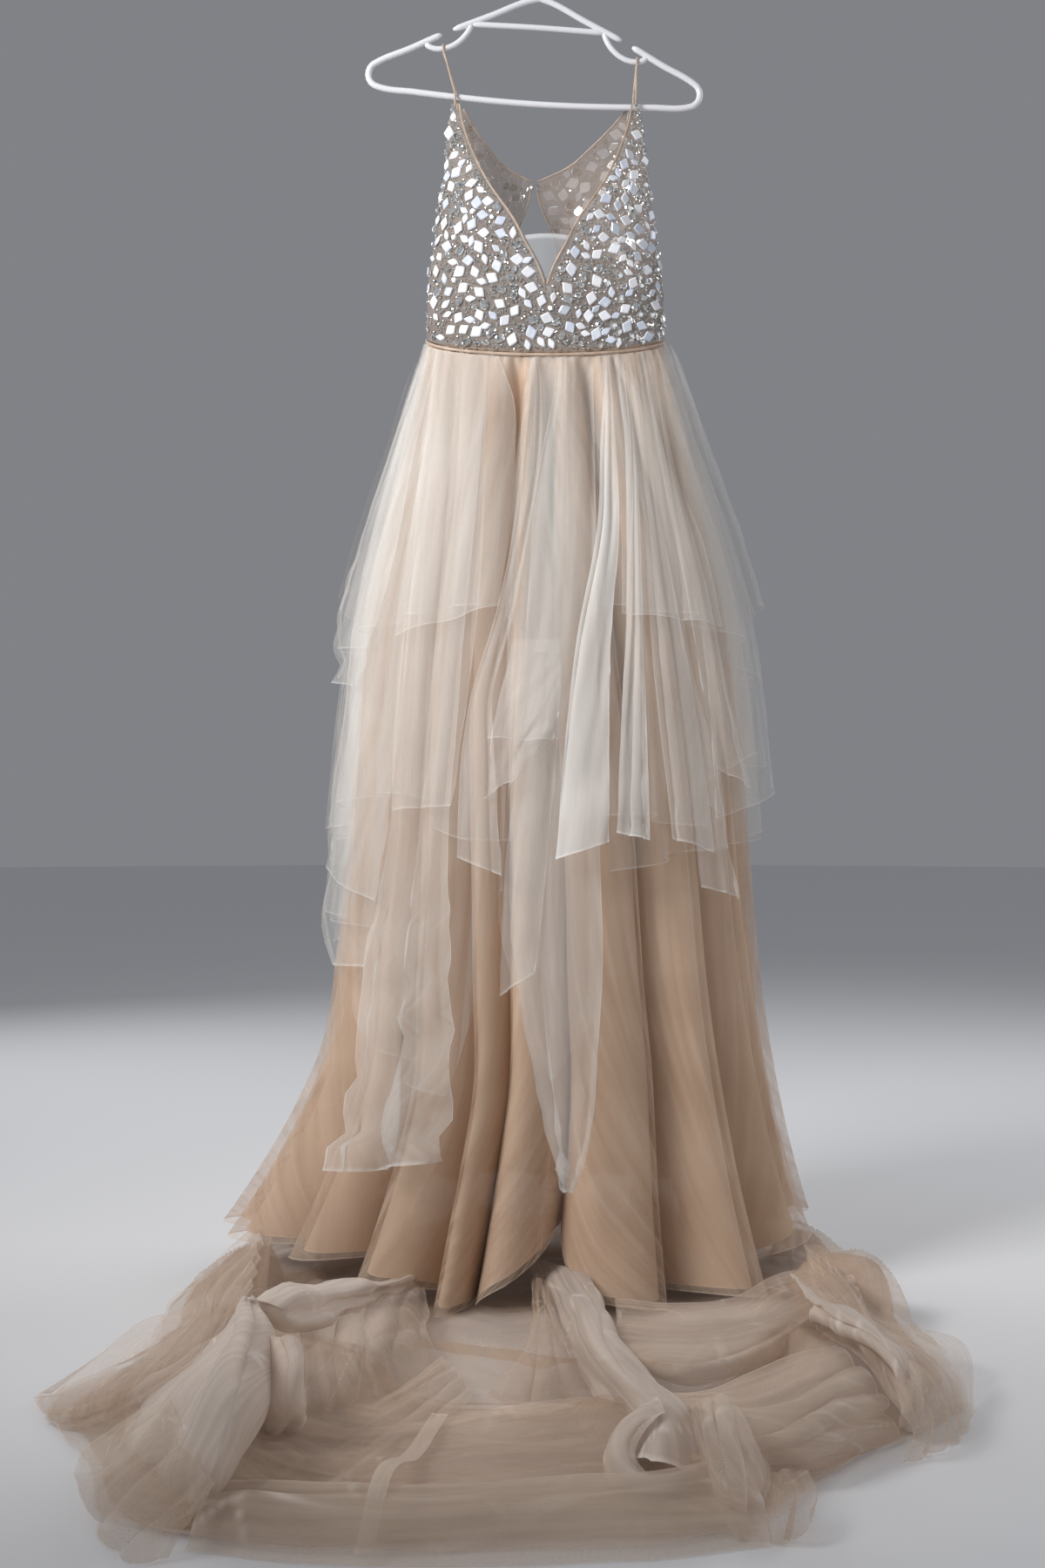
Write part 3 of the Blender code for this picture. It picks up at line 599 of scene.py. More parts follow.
def build_stones():
    """Eight kinds for the front and the back. They are sewn from the largest down, so that
    the small ones fill the gaps."""
    kite = plate(soft_outline([(0.0096, 0.0), (0.0012, 0.0075), (-0.0092, 0.0), (0.0012, -0.0075)], 0.13),
                 ((0.97, 0.0), (1.0, 0.0008), (0.80, 0.0020)))
    leaf = plate(soft_outline([(0.0084, 0.0), (0.0014, 0.0050), (-0.0080, 0.0), (0.0014, -0.0050)], 0.24),
                 ((0.97, 0.0), (1.0, 0.0007), (0.72, 0.0018)))
    square = plate(soft_outline([(0.0060, 0.0045), (-0.0060, 0.0045), (-0.0060, -0.0045),
                                 (0.0060, -0.0045)], 0.16, 2),
                   ((0.95, 0.0), (1.0, 0.0010), (0.78, 0.0024), (0.52, 0.0030)))
    #  shape, material and slot, tilt, reach, closeness, tries
    nacre, foil = (pearl_stone(), "pearl_stone"), (clear_stone(), "clear_stone")
    shapes = {"kite": (kite, nacre, 0.10, 0.0084, 0.90, 420),
              "leaf": (leaf, nacre, 0.12, 0.0060, 0.86, 800),
              "cushion": (square, foil, 0.16, 0.0062, 0.90, 260),
              "oval": (brilliant(0.0056, 0.0041, 8, 0.0036), foil, 0.16, 0.0050, 0.88, 600),
              "round": (brilliant(0.0041, 0.0041, 8, 0.0032), foil, 0.16, 0.0042, 0.92, 1200),
              "chip": (brilliant(0.0019, 0.0019, 6, 0.0017), foil, 0.3, 0.0020, 0.95, 3500),
              "bugle": (brilliant(0.0031, 0.0008, 4, 0.0014), foil, 0.2, 0.0020, 0.80, 2500),
              "seed": (brilliant(0.0011, 0.0011, 4, 0.0014), foil, 0.3, 0.0012, 0.90, 6000)}
    kinds = [(kind, *shapes[kind][3:])
             for kind in ("kite", "cushion", "leaf", "oval", "round", "chip", "bugle", "seed")]
    for word, front, seed in (("front", True, 5), ("back", False, 8)):
        sewn = sew_stones(front, kinds, seed)
        for number, (kind, (shape, looks, tilt, *_)) in enumerate(shapes.items()):
            set_stones(f"{kind}_stones_{word}", front, sewn[kind], shape, *looks, tilt, seed * 20 + number)


build_stones()


# ---- Modesty panel -----------------------------------------------------------
# A plain piece of sheer grey-white mesh, tacked behind the V so that it fills the
# lowest part of the neckline. Its top edge is turned and arches slightly.

def build_modesty_panel():
    """Rows across the V a little wider than it, raised towards the top by an arch that is
    one minus the square of the place across."""
    mesh_cloth = sheer("pale mesh", (0.62, 0.62, 0.62), (0.50, 0.51, 0.52), 0.30, 0.55, 0.0011, 0.4)
    foot, tall, arch, tuck = 0.052, 0.0615, 0.003, 0.007
    rows = np.linspace(foot, foot + tall, 24)
    across = np.linspace(-1.0, 1.0, 41)
    half = table_at(V_NECK, rows, 1) + tuck
    height = rows[:, None] + arch * (1 - across ** 2)[None, :] * ((rows - foot) / tall)[:, None]
    bearing = bearing_of(half[:, None] * across[None, :], height)
    points = bodice_point(bearing, height, True, -0.0022)
    edge = np.zeros(height.shape)
    edge[-2:] = 0.35
    piece = sheet_piece("modesty_panel_mesh", points, mesh_cloth, "modesty_panel", edge)


build_modesty_panel()


# ---- Bindings, waist tape and straps -----------------------------------------
# Narrow tan satin bias strip folded over the V edges, the back neckline and the
# keyhole, which a bent steel hook and eye close at the top. A flat tape covers the
# waist seam, and rouleau straps hang the gown.

def satin(name):
    """Tan, cloudy along its length, with a fine slub."""
    graph = Graph(name, (0.40, 0.285, 0.20), 0.5, {"Sheen Weight": 0.3, "Sheen Roughness": 0.4})
    slub = graph.tones(graph.noise(70.0), ((0.35, (0.40, 0.295, 0.22)), (0.65, (0.56, 0.43, 0.335))))
    graph.fill(graph.shader, {"Base Color": slub,
                              "Normal": graph.relief(graph.noise(900.0), 0.35, 0.0003)})
    return graph.material


def edge_path(heights, distance, side, front, reach):
    """A line beside an edge on its open side, at a distance from it."""
    along = unit(np.stack([np.gradient(heights), np.gradient(distance)], axis=-1))
    high, out = heights + along[:, 1] * reach, distance - along[:, 0] * reach
    return bodice_point(bearing_of(side * out, high), high, front)


def flattened_tube(path, outward, wide, thick):
    """A soft oval strip carried along a path, wide across it and thin outward."""
    ahead = unit(np.gradient(path, axis=0))
    return swept_oval(path, unit(np.cross(ahead, outward)), ahead, wide, thick, 12)


def trim(name, shape, material, node):
    piece = mesh_piece(name, *shape, material)
    face_outwards(piece)
    finish(piece, node)


def build_bindings(tan):
    """A strip beside each bound edge, on its open side."""
    neck = np.linspace(0.066, 0.2925, 70)
    keyhole = np.linspace(0.090, 0.204, 60)
    back = 0.2072 + 0.0853 * np.linspace(0.0, 1.0, 80) ** 1.8
    for word, side in (("left", -1.0), ("right", 1.0)):
        for kind, heights, inner, front in (("neck", neck, front_edge(neck), True),
                                            ("keyhole", keyhole, back_edge(keyhole, side), False),
                                            ("back", back, back_edge(back, side), False)):
            path = edge_path(heights, inner, side, front, 0.0012)
            outward = np.array([(0.0, -1.0 if front else 1.0, 0.1)] * len(path))
            trim(f"{kind}_binding_strip_{word}", flattened_tube(path, outward, 0.0012, 0.0006), tan,
                 f"{kind}_binding_{word}")


def build_straps(tan):
    """Each strap runs up from the front panel, over the tube in its notch and down to the
    back panel."""
    thick = 0.00145
    over = HANGER_TUBE * 0.88 + 0.0012
    for word, side, notch_x, notch_z in (("left", -1.0, -0.118, -0.0728),
                                         ("right", 1.0, 0.128, -0.0735)):
        seat = on_hanger(notch_x, notch_z)
        front = bodice_point(bearing_of(side * 0.1143, PANEL_TOP), 0.290, True)
        back = bodice_point(bearing_of(side * 0.1120, PANEL_TOP), 0.290, False)
        rise = seat[2] - front[2] - 0.018
        path = [front, (front[0], -over - 0.0030, front[2] + 0.016)]
        path += [(front[0] + (seat[0] - front[0]) * s, -over - 0.0012 * (1 - s),
                  front[2] + 0.018 + rise * s) for s in (0.35, 0.7, 1.0)]
        path += [(seat[0], -over * math.cos(t), seat[2] + over * math.sin(t))
                 for t in np.linspace(0.0, math.pi, 9)[1:-1]]
        path += [(back[0] + (seat[0] - back[0]) * s, over + 0.0012 * (1 - s),
                  back[2] + 0.018 + rise * s) for s in (1.0, 0.7, 0.35)]
        path += [(back[0], over + 0.0030, back[2] + 0.016), back]
        shape = round_tube(smooth_path(path, 150), thick, 12)
        trim("rouleau_strap_" + word, shape, tan, "strap_" + word)


def build_closure():
    """The bent wire hook and eye keep the frame's shape and get a drawn steel surface."""
    graph = Graph("steel wire", (0.62, 0.62, 0.64), 0.28, {"Metallic": 1.0})
    graph.fill(graph.shader, {"Roughness": graph.span(graph.noise(900.0), 0.20, 0.38)})
    for word in ("closure_hook", "closure_eye"):
        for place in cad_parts[word].material_slots:
            place.material = graph.material


def build_waist_tape(tan):
    """A flat band round the ring of the waist, a little below its seam."""
    bearing = np.linspace(-math.pi + 0.01, math.pi - 0.01, 260)
    front = np.cos(bearing) > 0
    path = np.stack([CENTRE_X + 0.1512 * np.sin(bearing),
                     -np.where(front, 0.0470, 0.0450) * np.cos(bearing),
                     WAIST_Z - WAIST_DIP * np.cos(bearing).clip(0) - 0.0035], axis=-1)
    outward = np.stack([0.1 * np.sin(bearing), -0.3 * np.cos(bearing), 0 * bearing], axis=-1)
    shape = flattened_tube(path, outward, 0.0018, 0.0008)
    trim("waist_tape_band", shape, tan, "waist_tape")


tan_satin = satin("tan satin")
build_bindings(tan_satin)
build_straps(tan_satin)
build_closure()
build_waist_tape(tan_satin)


# ---- Skirt -------------------------------------------------------------------
# Every tulle layer is a wide length gathered into the waist seam. Below it the
# cloth falls in soft tubes that broaden towards the floor and lap over each other.

TAPE_DROP = 0.0068
FLOOR_Z = -1.6766
TULLE_PITCH = 0.0016
LAYER_ROWS = 68
COLUMNS_PER_TUBE = 18

#  drop below the waist seam, half width, front depth, back depth, centre shift
SKIRT_RINGS = np.array([
    (0.000, 0.1500, 0.046, 0.044, 0.000),
    (0.124, 0.1740, 0.085, 0.080, 0.001),
    (0.234, 0.1980, 0.110, 0.105, 0.002),
    (0.345, 0.2190, 0.130, 0.125, 0.002),
    (0.455, 0.2320, 0.145, 0.140, 0.003),
    (0.566, 0.2390, 0.160, 0.150, 0.004),
    (0.676, 0.2450, 0.170, 0.160, 0.004),
    (0.765, 0.2525, 0.180, 0.170, 0.002),
    (0.897, 0.2680, 0.195, 0.185, 0.000),
    (0.963, 0.2850, 0.203, 0.195, -0.008),
    (1.052, 0.3130, 0.212, 0.215, -0.022),
    (1.140, 0.3440, 0.222, 0.240, -0.038),
    (1.186, 0.3620, 0.228, 0.250, -0.048),
])


def ring_point(bearing, drop, outward):
    """A point round the skirt: x is the half width times the bearing's sine, y the
    front or back depth times its cosine, each grown by the outward distance."""
    front = np.cos(bearing) > 0
    depth = np.where(front, table_at(SKIRT_RINGS, drop, 2), table_at(SKIRT_RINGS, drop, 3))
    x = CENTRE_X + table_at(SKIRT_RINGS, drop, 4)
    x = x + (table_at(SKIRT_RINGS, drop, 1) + outward) * np.sin(bearing)
    y = -(depth + outward) * np.cos(bearing)
    z = WAIST_Z - WAIST_DIP * np.cos(bearing).clip(0) - TAPE_DROP - drop
    return np.stack([x, y, z], axis=-1)


def waver(seed, *where):
    """A smooth uneven value between about -1 and 1: a sum of sines whose waves and
    starts come from the seed."""
    draw = np.random.RandomState(seed)
    total = 0.0
    for part in range(4):
        angle = draw.uniform(0, 2 * np.pi)
        for place in where:
            angle = angle + place * draw.uniform(0.5, 1.0) * (1.0 + 0.7 * part)
        total = total + np.sin(angle) / (1.0 + 0.6 * part)
    return total / 1.9


class Gathers:
    """The hollows between the tubes of one layer. Each starts at one bearing on the
    waist and reaches another where the layer ends, lap says how far its two tubes
    close over it, and lean which of them lies on top."""

    def __init__(self, hollows, fall, seed):
        table = np.array(hollows, float)
        first, last = table[0, 0], table[-1, 0]
        draw = np.random.RandomState(seed)
        rest, place = [], last
        while first + 360.0 - place > 24.0:
            place += draw.uniform(13.0, 20.0)
            rest.append((place, place + draw.uniform(-3.0, 3.0), draw.uniform(1.2, 2.0),
                         draw.choice((-1.0, 1.0)) * draw.uniform(0.5, 1.0), draw.uniform(1.0, 1.6)))
        table = np.concatenate([table, np.array(rest)]) if rest else table
        shift = np.array([360.0, 360.0, 0.0, 0.0, 0.0])
        self.table = np.concatenate([table - shift, table, table + shift])
        self.phases = np.arange(len(self.table)) - len(table)
        self.steps = np.gradient(self.table[:, :2], axis=0)
        self.fall = fall
        self.seed = seed

    def phase_at(self, bearing):
        return np.interp(bearing, self.table[:, 0], self.phases)

    def hem_bearing(self, phase):
        return np.interp(phase, self.phases, self.table[:, 1])

    def lap(self, phase, drop):
        """No lap at the seam, then more as the tubes broaden."""
        full = hermite(self.phases, self.table[:, 2], phase)
        uneven = 1.0 + 0.15 * waver(self.seed + 1, 1.7 * phase, 7.0 * drop)
        return full * uneven * (1.0 - np.exp(-drop / 0.085))

    def point(self, phase, drop, standoff, depth):
        """Outward, a tube is minus the cosine of its phase, turned by the lean so that
        one side lies over the other. Along the ring it is pushed back by the lap times
        the sine, which folds the cloth under itself at each hollow."""
        share = (drop / self.fall).clip(0.0, 1.2)
        start, end, _, lean, deep = np.moveaxis(hermite(self.phases, self.table, phase), -1, 0)
        deep = 1.0 + (deep - 1.0) * np.exp(-(drop / 0.30) ** 2)
        step_start, step_end = np.moveaxis(hermite(self.phases, self.steps, phase), -1, 0)
        step = step_start * (1 - share) + step_end * share
        grown = 1.0 - np.exp(-drop / 0.06)
        turn = 2 * np.pi * phase
        bearing = start * (1 - share) + end * share
        bearing = bearing + 1.1 * waver(self.seed + 2, 0.8 * phase, 6.0 * drop) * grown
        bearing = bearing - self.lap(phase, drop) * step * np.sin(turn) / (2 * np.pi)
        swell = -0.2 - 0.8 * np.cos(turn + 0.8 * lean * grown)
        gather = 0.0020 * np.exp(-drop / 0.04) * np.cos(3 * turn + 2 * waver(self.seed + 3, 2.0 * phase))
        crumple = 0.0011 * grown * waver(self.seed + 4, 3.5 * phase, 7.0 * drop)
        wide = np.sqrt(step / 14.0)
        return ring_point(np.radians(bearing), drop,
                          standoff + depth * deep * wide * swell + gather + crumple)

    def crease(self, phase, drop):
        """Where a tube turns under itself: 1 on the turn, falling off to either side. It makes the cloth
        denser there and paints a highlight along the turn.
        """
        lap = self.lap(phase, drop)
        turn = 1.0 - lap * np.cos(2 * np.pi * phase)
        return np.exp(-(turn / 0.14) ** 2) * (lap - 0.7).clip(0.0, 1.0)


def hem_line(table, bearing):
    """Drop of a hem at each bearing, along straight runs between its corners."""
    table = np.asarray(table, float)
    return np.interp(bearing, table[:, 0], table[:, 1], period=360.0)


def layer_grid(gathers, first, last, hem):
    """Phases and drops of a layer from one waist bearing to another. Rows run from the
    gathers to the hem and the last two lie close together, and so do the outermost
    columns, so that the raw edges have a narrow band of their own."""
    near, far = gathers.phase_at(first), gathers.phase_at(last)
    phase = np.linspace(near, far, int((far - near) * COLUMNS_PER_TUBE))
    phase = np.concatenate([[near, near + 0.015, near + 0.022], phase[1:-1],
                            [far - 0.022, far - 0.015, far]])
    hem_drop = hem(gathers.hem_bearing(phase))[None, :]
    share = np.linspace(0.0, 1.0, LAYER_ROWS)[:, None] ** 1.15
    drop = np.concatenate([share * (hem_drop - 0.0022), hem_drop - 0.0014, hem_drop])
    return np.broadcast_to(phase[None, :], drop.shape), drop


def raw_edges(shape, hem, sides):
    """Edge density along the hem and the two free sides, which also paints a highlight there."""
    edge = np.zeros(shape)
    edge[-2:] = hem
    edge[:, :2] = np.maximum(edge[:, :2], sides)
    edge[:, -2:] = np.maximum(edge[:, -2:], sides)
    return edge


def fullness(drop):
    """How far the tubes have opened: quickly under the seam, then slowly."""
    return 1.0 - np.exp(-drop / 0.05)


def grid_normal(points):
    """Unit normals of a grid: the cross product of its two gradients."""
    normal = np.cross(np.gradient(points, axis=0), np.gradient(points, axis=1))
    return normal / (np.linalg.norm(normal, axis=-1)[..., None] + 1e-12)


def folded_sheet(lines, folds, lap, depth, seed, opens=0.0, crumple=0.0):
    """Cloth through guide lines, with smooth curves from one to the next. Folds run along
    the guides: each rises by minus the cosine of its phase and is pushed across by the
    lap times the sine, which turns it over on the next. They open by one minus e to the
    minus of the way along over opens, and sharp crumples grow with its fourth power."""
    count, columns = lines.shape[:2]
    dense = hermite(np.arange(count), lines.reshape(count, -1), np.linspace(0, count - 1, 241))
    dense = dense.reshape(241, columns, 3)
    normal = grid_normal(dense)
    normal *= np.sign((normal[..., 2] - normal[..., 1]).mean())
    share = np.linspace(0.0, 1.0, 14 * folds + 20)
    share = np.concatenate([[0.0, 0.007], share[1:-1], [0.993, 1.0]])[:, None]
    along = np.linspace(0.0, 1.0, columns)[None, :]
    phase = folds * share + 0.32 * waver(seed, 3.0 * along, 5.0 * share)
    calm = np.sin(np.pi * share) ** 0.6 * (0.75 + 0.25 * waver(seed + 1, 4.0 * along, 6.0 * share))
    if opens:
        calm = calm * (1.0 - np.exp(-along / opens))
    turn = 2 * np.pi * phase
    laid = (share - lap * calm * np.sin(turn) / (2 * np.pi * folds)).clip(0.0, 1.0) * 240
    low = laid.astype(int).clip(0, 239)
    rest = (laid - low)[..., None]
    column = np.arange(columns)[None, :]
    points = dense[low, column] * (1 - rest) + dense[low + 1, column] * rest
    rise = depth * calm * (0.4 - np.cos(turn)) + 0.0008 * waver(seed + 2, 16.0 * along, 8.0 * share)
    points = points + normal[low, column] * rise[..., None]
    if crumple:
        creased, _ = crushed(points, crumple, 0.05, seed + 3)
        points = points + (creased - points) * along[..., None] ** 4
    # edge: denser cloth and a painted highlight along each fold's turn and at the raw edges.
    edge = 0.20 * np.exp(-((1.0 - lap * calm * np.cos(turn)) / 0.16) ** 2) * (lap * calm > 0.7)
    edge[[0, -1]] = 0.28
    edge[:, -1] = 0.26
    return points, edge


def crushed(points, depth, size, seed):
    """Crumpled cloth: each place moves along the normal by the mean of seven saws of
    random bearing and length, each one minus twice the size of a sine, so that ridges
    are sharp and the cloth between them is flat. Returns the sharpest ridges too, as denser cloth with a
    painted highlight."""
    random = np.random.default_rng(seed)
    rows, columns = points.shape[:2]
    across = np.append(0.0, step_lengths(points[:, columns // 2]).cumsum())[:, None]
    along = np.append(0.0, step_lengths(points[rows // 2]).cumsum())[None, :]
    total, crease = 0.0, 0.0
    for number in range(7):
        turn = random.uniform(0.0, np.pi)
        wave = np.pi / (size * random.uniform(0.7, 1.8))
        phase = wave * (across * np.cos(turn) + along * np.sin(turn)) + random.uniform(0.0, 6.3)
        saw = np.abs(np.sin(phase + 0.4 * waver(seed + number, 9.0 * across, 7.0 * along)))
        total = total + 1.0 - 2.0 * saw
        # crease marks the sharpest ridges. They become denser and are painted lighter as a highlight.
        if number < 3:
            crease = np.maximum(crease, np.exp(-(saw / 0.07) ** 2))
    patchy = waver(seed + 9, 25.0 * across, 20.0 * along).clip(0.0, 1.0)
    height = depth * total / np.sqrt(7.0)
    return points + grid_normal(points) * height[..., None], 0.35 * crease * patchy


def skirt_layer(name, node, gathers, first, last, hem, standoff, depth, material,
                hem_density_and_highlight=0.18, side_density_and_highlight=0.12, crease_density_and_highlight=0.15):
    """A gathered length from one bearing on the waist to another, denser at its raw edges
    and where its tubes turn under, and painted lighter there as a highlight."""
    phase, drop = layer_grid(gathers, first, last, hem)
    points = gathers.point(phase, drop, standoff(drop), depth(drop))
    edge = np.maximum(raw_edges(phase.shape, hem_density_and_highlight, side_density_and_highlight),
                      crease_density_and_highlight * gathers.crease(phase, drop))
    piece = sheet_piece(name, points, material, node, edge)


# ---- Champagne underskirt ----------------------------------------------------
# Soft champagne tulle: an inner skirt of several plies that reads almost solid,
# and a single ply over it that goes sheer at the hem. Four panels each.

#  bearing on the waist, bearing at the hem, lap, lean, depth
UNDERSKIRT_HOLLOWS = [
    (-98, -100, 1.1, 1.0, 0.8), (-82, -80, 1.0, 1.0, 0.8), (-66, -50, 1.2, 1.0, 0.8),
    (-48, -34, 0.9, 1.0, 0.6), (-31, -15, 1.3, 1.0, 0.8), (-14, -9, 1.0, 1.0, 1.8),
    (1, 9, 1.2, 0.8, 2.2), (20, 31, 1.2, -1.0, 1.8), (38, 52, 1.4, -1.0, 0.9),
    (58, 78, 1.3, -1.0, 0.9), (78, 95, 1.2, -1.0, 0.8), (98, 108, 1.1, 1.0, 0.8),
]
#  bearing at the hem, height of the hem above the floor
UNDERSKIRT_HEM = [(-180, 0.080), (-120, 0.080), (-88, 0.060), (-66, 0.060), (-50, 0.060),
                  (-36, 0.050), (-26, 0.035), (-21, 0.018), (-14, 0.006), (-7, 0.005), (-1, 0.040),
                  (4, 0.080), (8, 0.092), (12, 0.062), (17, 0.022), (22, 0.006), (28, 0.005),
                  (34, 0.022), (42, 0.012), (51, 0.010), (59, 0.030), (72, 0.074), (90, 0.080),
                  (120, 0.080)]


def underskirt_hem(raise_by):
    """Drop of the hem, from its height above the floor and a small waver."""
    def drop(bearing):
        above = hem_line(UNDERSKIRT_HEM, bearing) + raise_by + 0.004 * waver(17, 0.35 * bearing).clip(0.0)
        dip = WAIST_DIP * np.cos(np.radians(bearing)).clip(0)
        return WAIST_Z - dip - TAPE_DROP - FLOOR_Z - above
    return drop


def build_underskirt():
    """The depths grow a little with the drop, and near the hem with its eighth power."""
    inner = sheer("champagne plies", (0.74, 0.545, 0.40), (0.63, 0.445, 0.31), 0.90, 1.0, TULLE_PITCH,
                  0.15)
    outer = sheer("champagne tulle", (0.76, 0.585, 0.445), (0.66, 0.485, 0.35), 0.25, 0.50, TULLE_PITCH,
                  0.2, pleats=0.12)
    gathers = Gathers(UNDERSKIRT_HOLLOWS, 1.15, 11)
    for word, first, last in (("front_left", -88, -5), ("front_right", -5, 88),
                              ("back_right", 88, 182), ("back_left", 182, 272)):
        skirt_layer("underskirt_plies_" + word, None, gathers, first, last, underskirt_hem(0.006),
                    lambda d: -0.006 - 0.010 * fullness(d),
                    lambda d: 0.001 + 0.011 * fullness(d) + 0.014 * d + 0.036 * (d / 1.15) ** 8, inner,
                    0.1, 0.0, 0.05)
        skirt_layer("underskirt_tulle_" + word, "underskirt_" + word, gathers, first, last,
                    underskirt_hem(0.0), lambda d: -0.002 - 0.005 * fullness(d) + 0.004 * d,
                    lambda d: 0.001 + 0.013 * fullness(d) + 0.013 * d + 0.045 * (d / 1.15) ** 8, outer,
                    0.2, 0.1, 0.15)


build_underskirt()


# ---- Ivory overlays ----------------------------------------------------------
# Three gathered layers of sheer ivory tulle with raw handkerchief hems: a long one
# with two points that fall past the knee, a middle one and a short one on top.

#  bearing on the waist, bearing at the hem, lap, lean, depth
LONG_HOLLOWS = [
    (-96, -96, 1.4, 1.0, 1.0), (-74, -78, 1.2, 1.0, 0.9), (-52, -58, 1.1, 1.0, 0.8),
    (-32, -36, 1.0, 1.0, 0.8), (-12, -14, 1.1, 1.0, 2.6), (2, 0, 1.1, 1.0, 2.6),
    (20, 16, 1.1, 1.0, 2.4), (36, 34, 1.0, -1.0, 0.8), (54, 57, 1.1, -1.0, 0.8),
    (76, 78, 1.3, -1.0, 1.0), (98, 98, 1.4, -1.0, 1.0),
]
MIDDLE_HOLLOWS = [
    (-98, -98, 1.4, 1.0, 1.0), (-78, -74, 1.2, 1.0, 0.9), (-58, -52, 1.0, 1.0, 0.8),
    (-34, -32, 1.0, 1.0, 0.8), (-12, -11, 1.1, 1.0, 2.8), (1, -2, 1.1, 1.0, 2.8),
    (20, 14, 1.1, 1.0, 2.6), (34, 28, 1.1, -1.0, 0.9), (54, 50, 1.2, -1.0, 0.8),
    (76, 74, 1.3, -1.0, 1.0), (97, 98, 1.4, -1.0, 1.0),
]
SHORT_HOLLOWS = [
    (-99, -97, 1.4, 1.0, 1.0), (-80, -70, 1.2, 1.0, 0.9), (-62, -46, 1.0, 1.0, 0.8),
    (-36, -30, 1.0, 1.0, 0.8), (-12, -12, 1.1, 1.0, 3.0), (1, -4, 1.1, 1.0, 3.0),
    (20, 13, 1.1, 1.0, 2.8), (33, 29, 1.1, -1.0, 1.0), (46, 50, 1.3, -1.0, 0.9),
    (68, 72, 1.3, -1.0, 0.9), (96, 97, 1.4, -1.0, 1.0),
]
#  bearing at the hem, drop of the hem below the waist seam
LONG_HEM = [(-90, 0.72), (-60, 0.72), (-46, 0.86), (-24, 0.90), (-19, 0.66), (-12, 0.66),
            (-6, 0.80), (4, 0.88), (10, 0.80), (15, 0.64), (40, 0.62), (90, 0.62),
            (120, 0.76), (150, 0.69), (180, 0.86), (210, 0.70), (240, 0.80)]
MIDDLE_HEM = [(-90, 0.62), (-60, 0.56), (-41, 0.55), (-22, 0.60), (-11, 0.60), (-6, 0.47),
              (2, 0.47), (4, 0.57), (23, 0.57), (41, 0.59), (51, 0.56), (64, 0.51), (90, 0.54),
              (120, 0.63), (150, 0.55), (180, 0.66), (210, 0.56), (240, 0.64)]
SHORT_HEM = [(-100, 0.40), (-78, 0.38), (-55, 0.345), (-43, 0.335), (-12, 0.312), (-5, 0.37),
             (8, 0.38), (18, 0.318), (34, 0.325), (52, 0.34), (70, 0.38), (92, 0.44),
             (120, 0.39), (150, 0.335), (180, 0.41), (210, 0.34), (240, 0.39)]

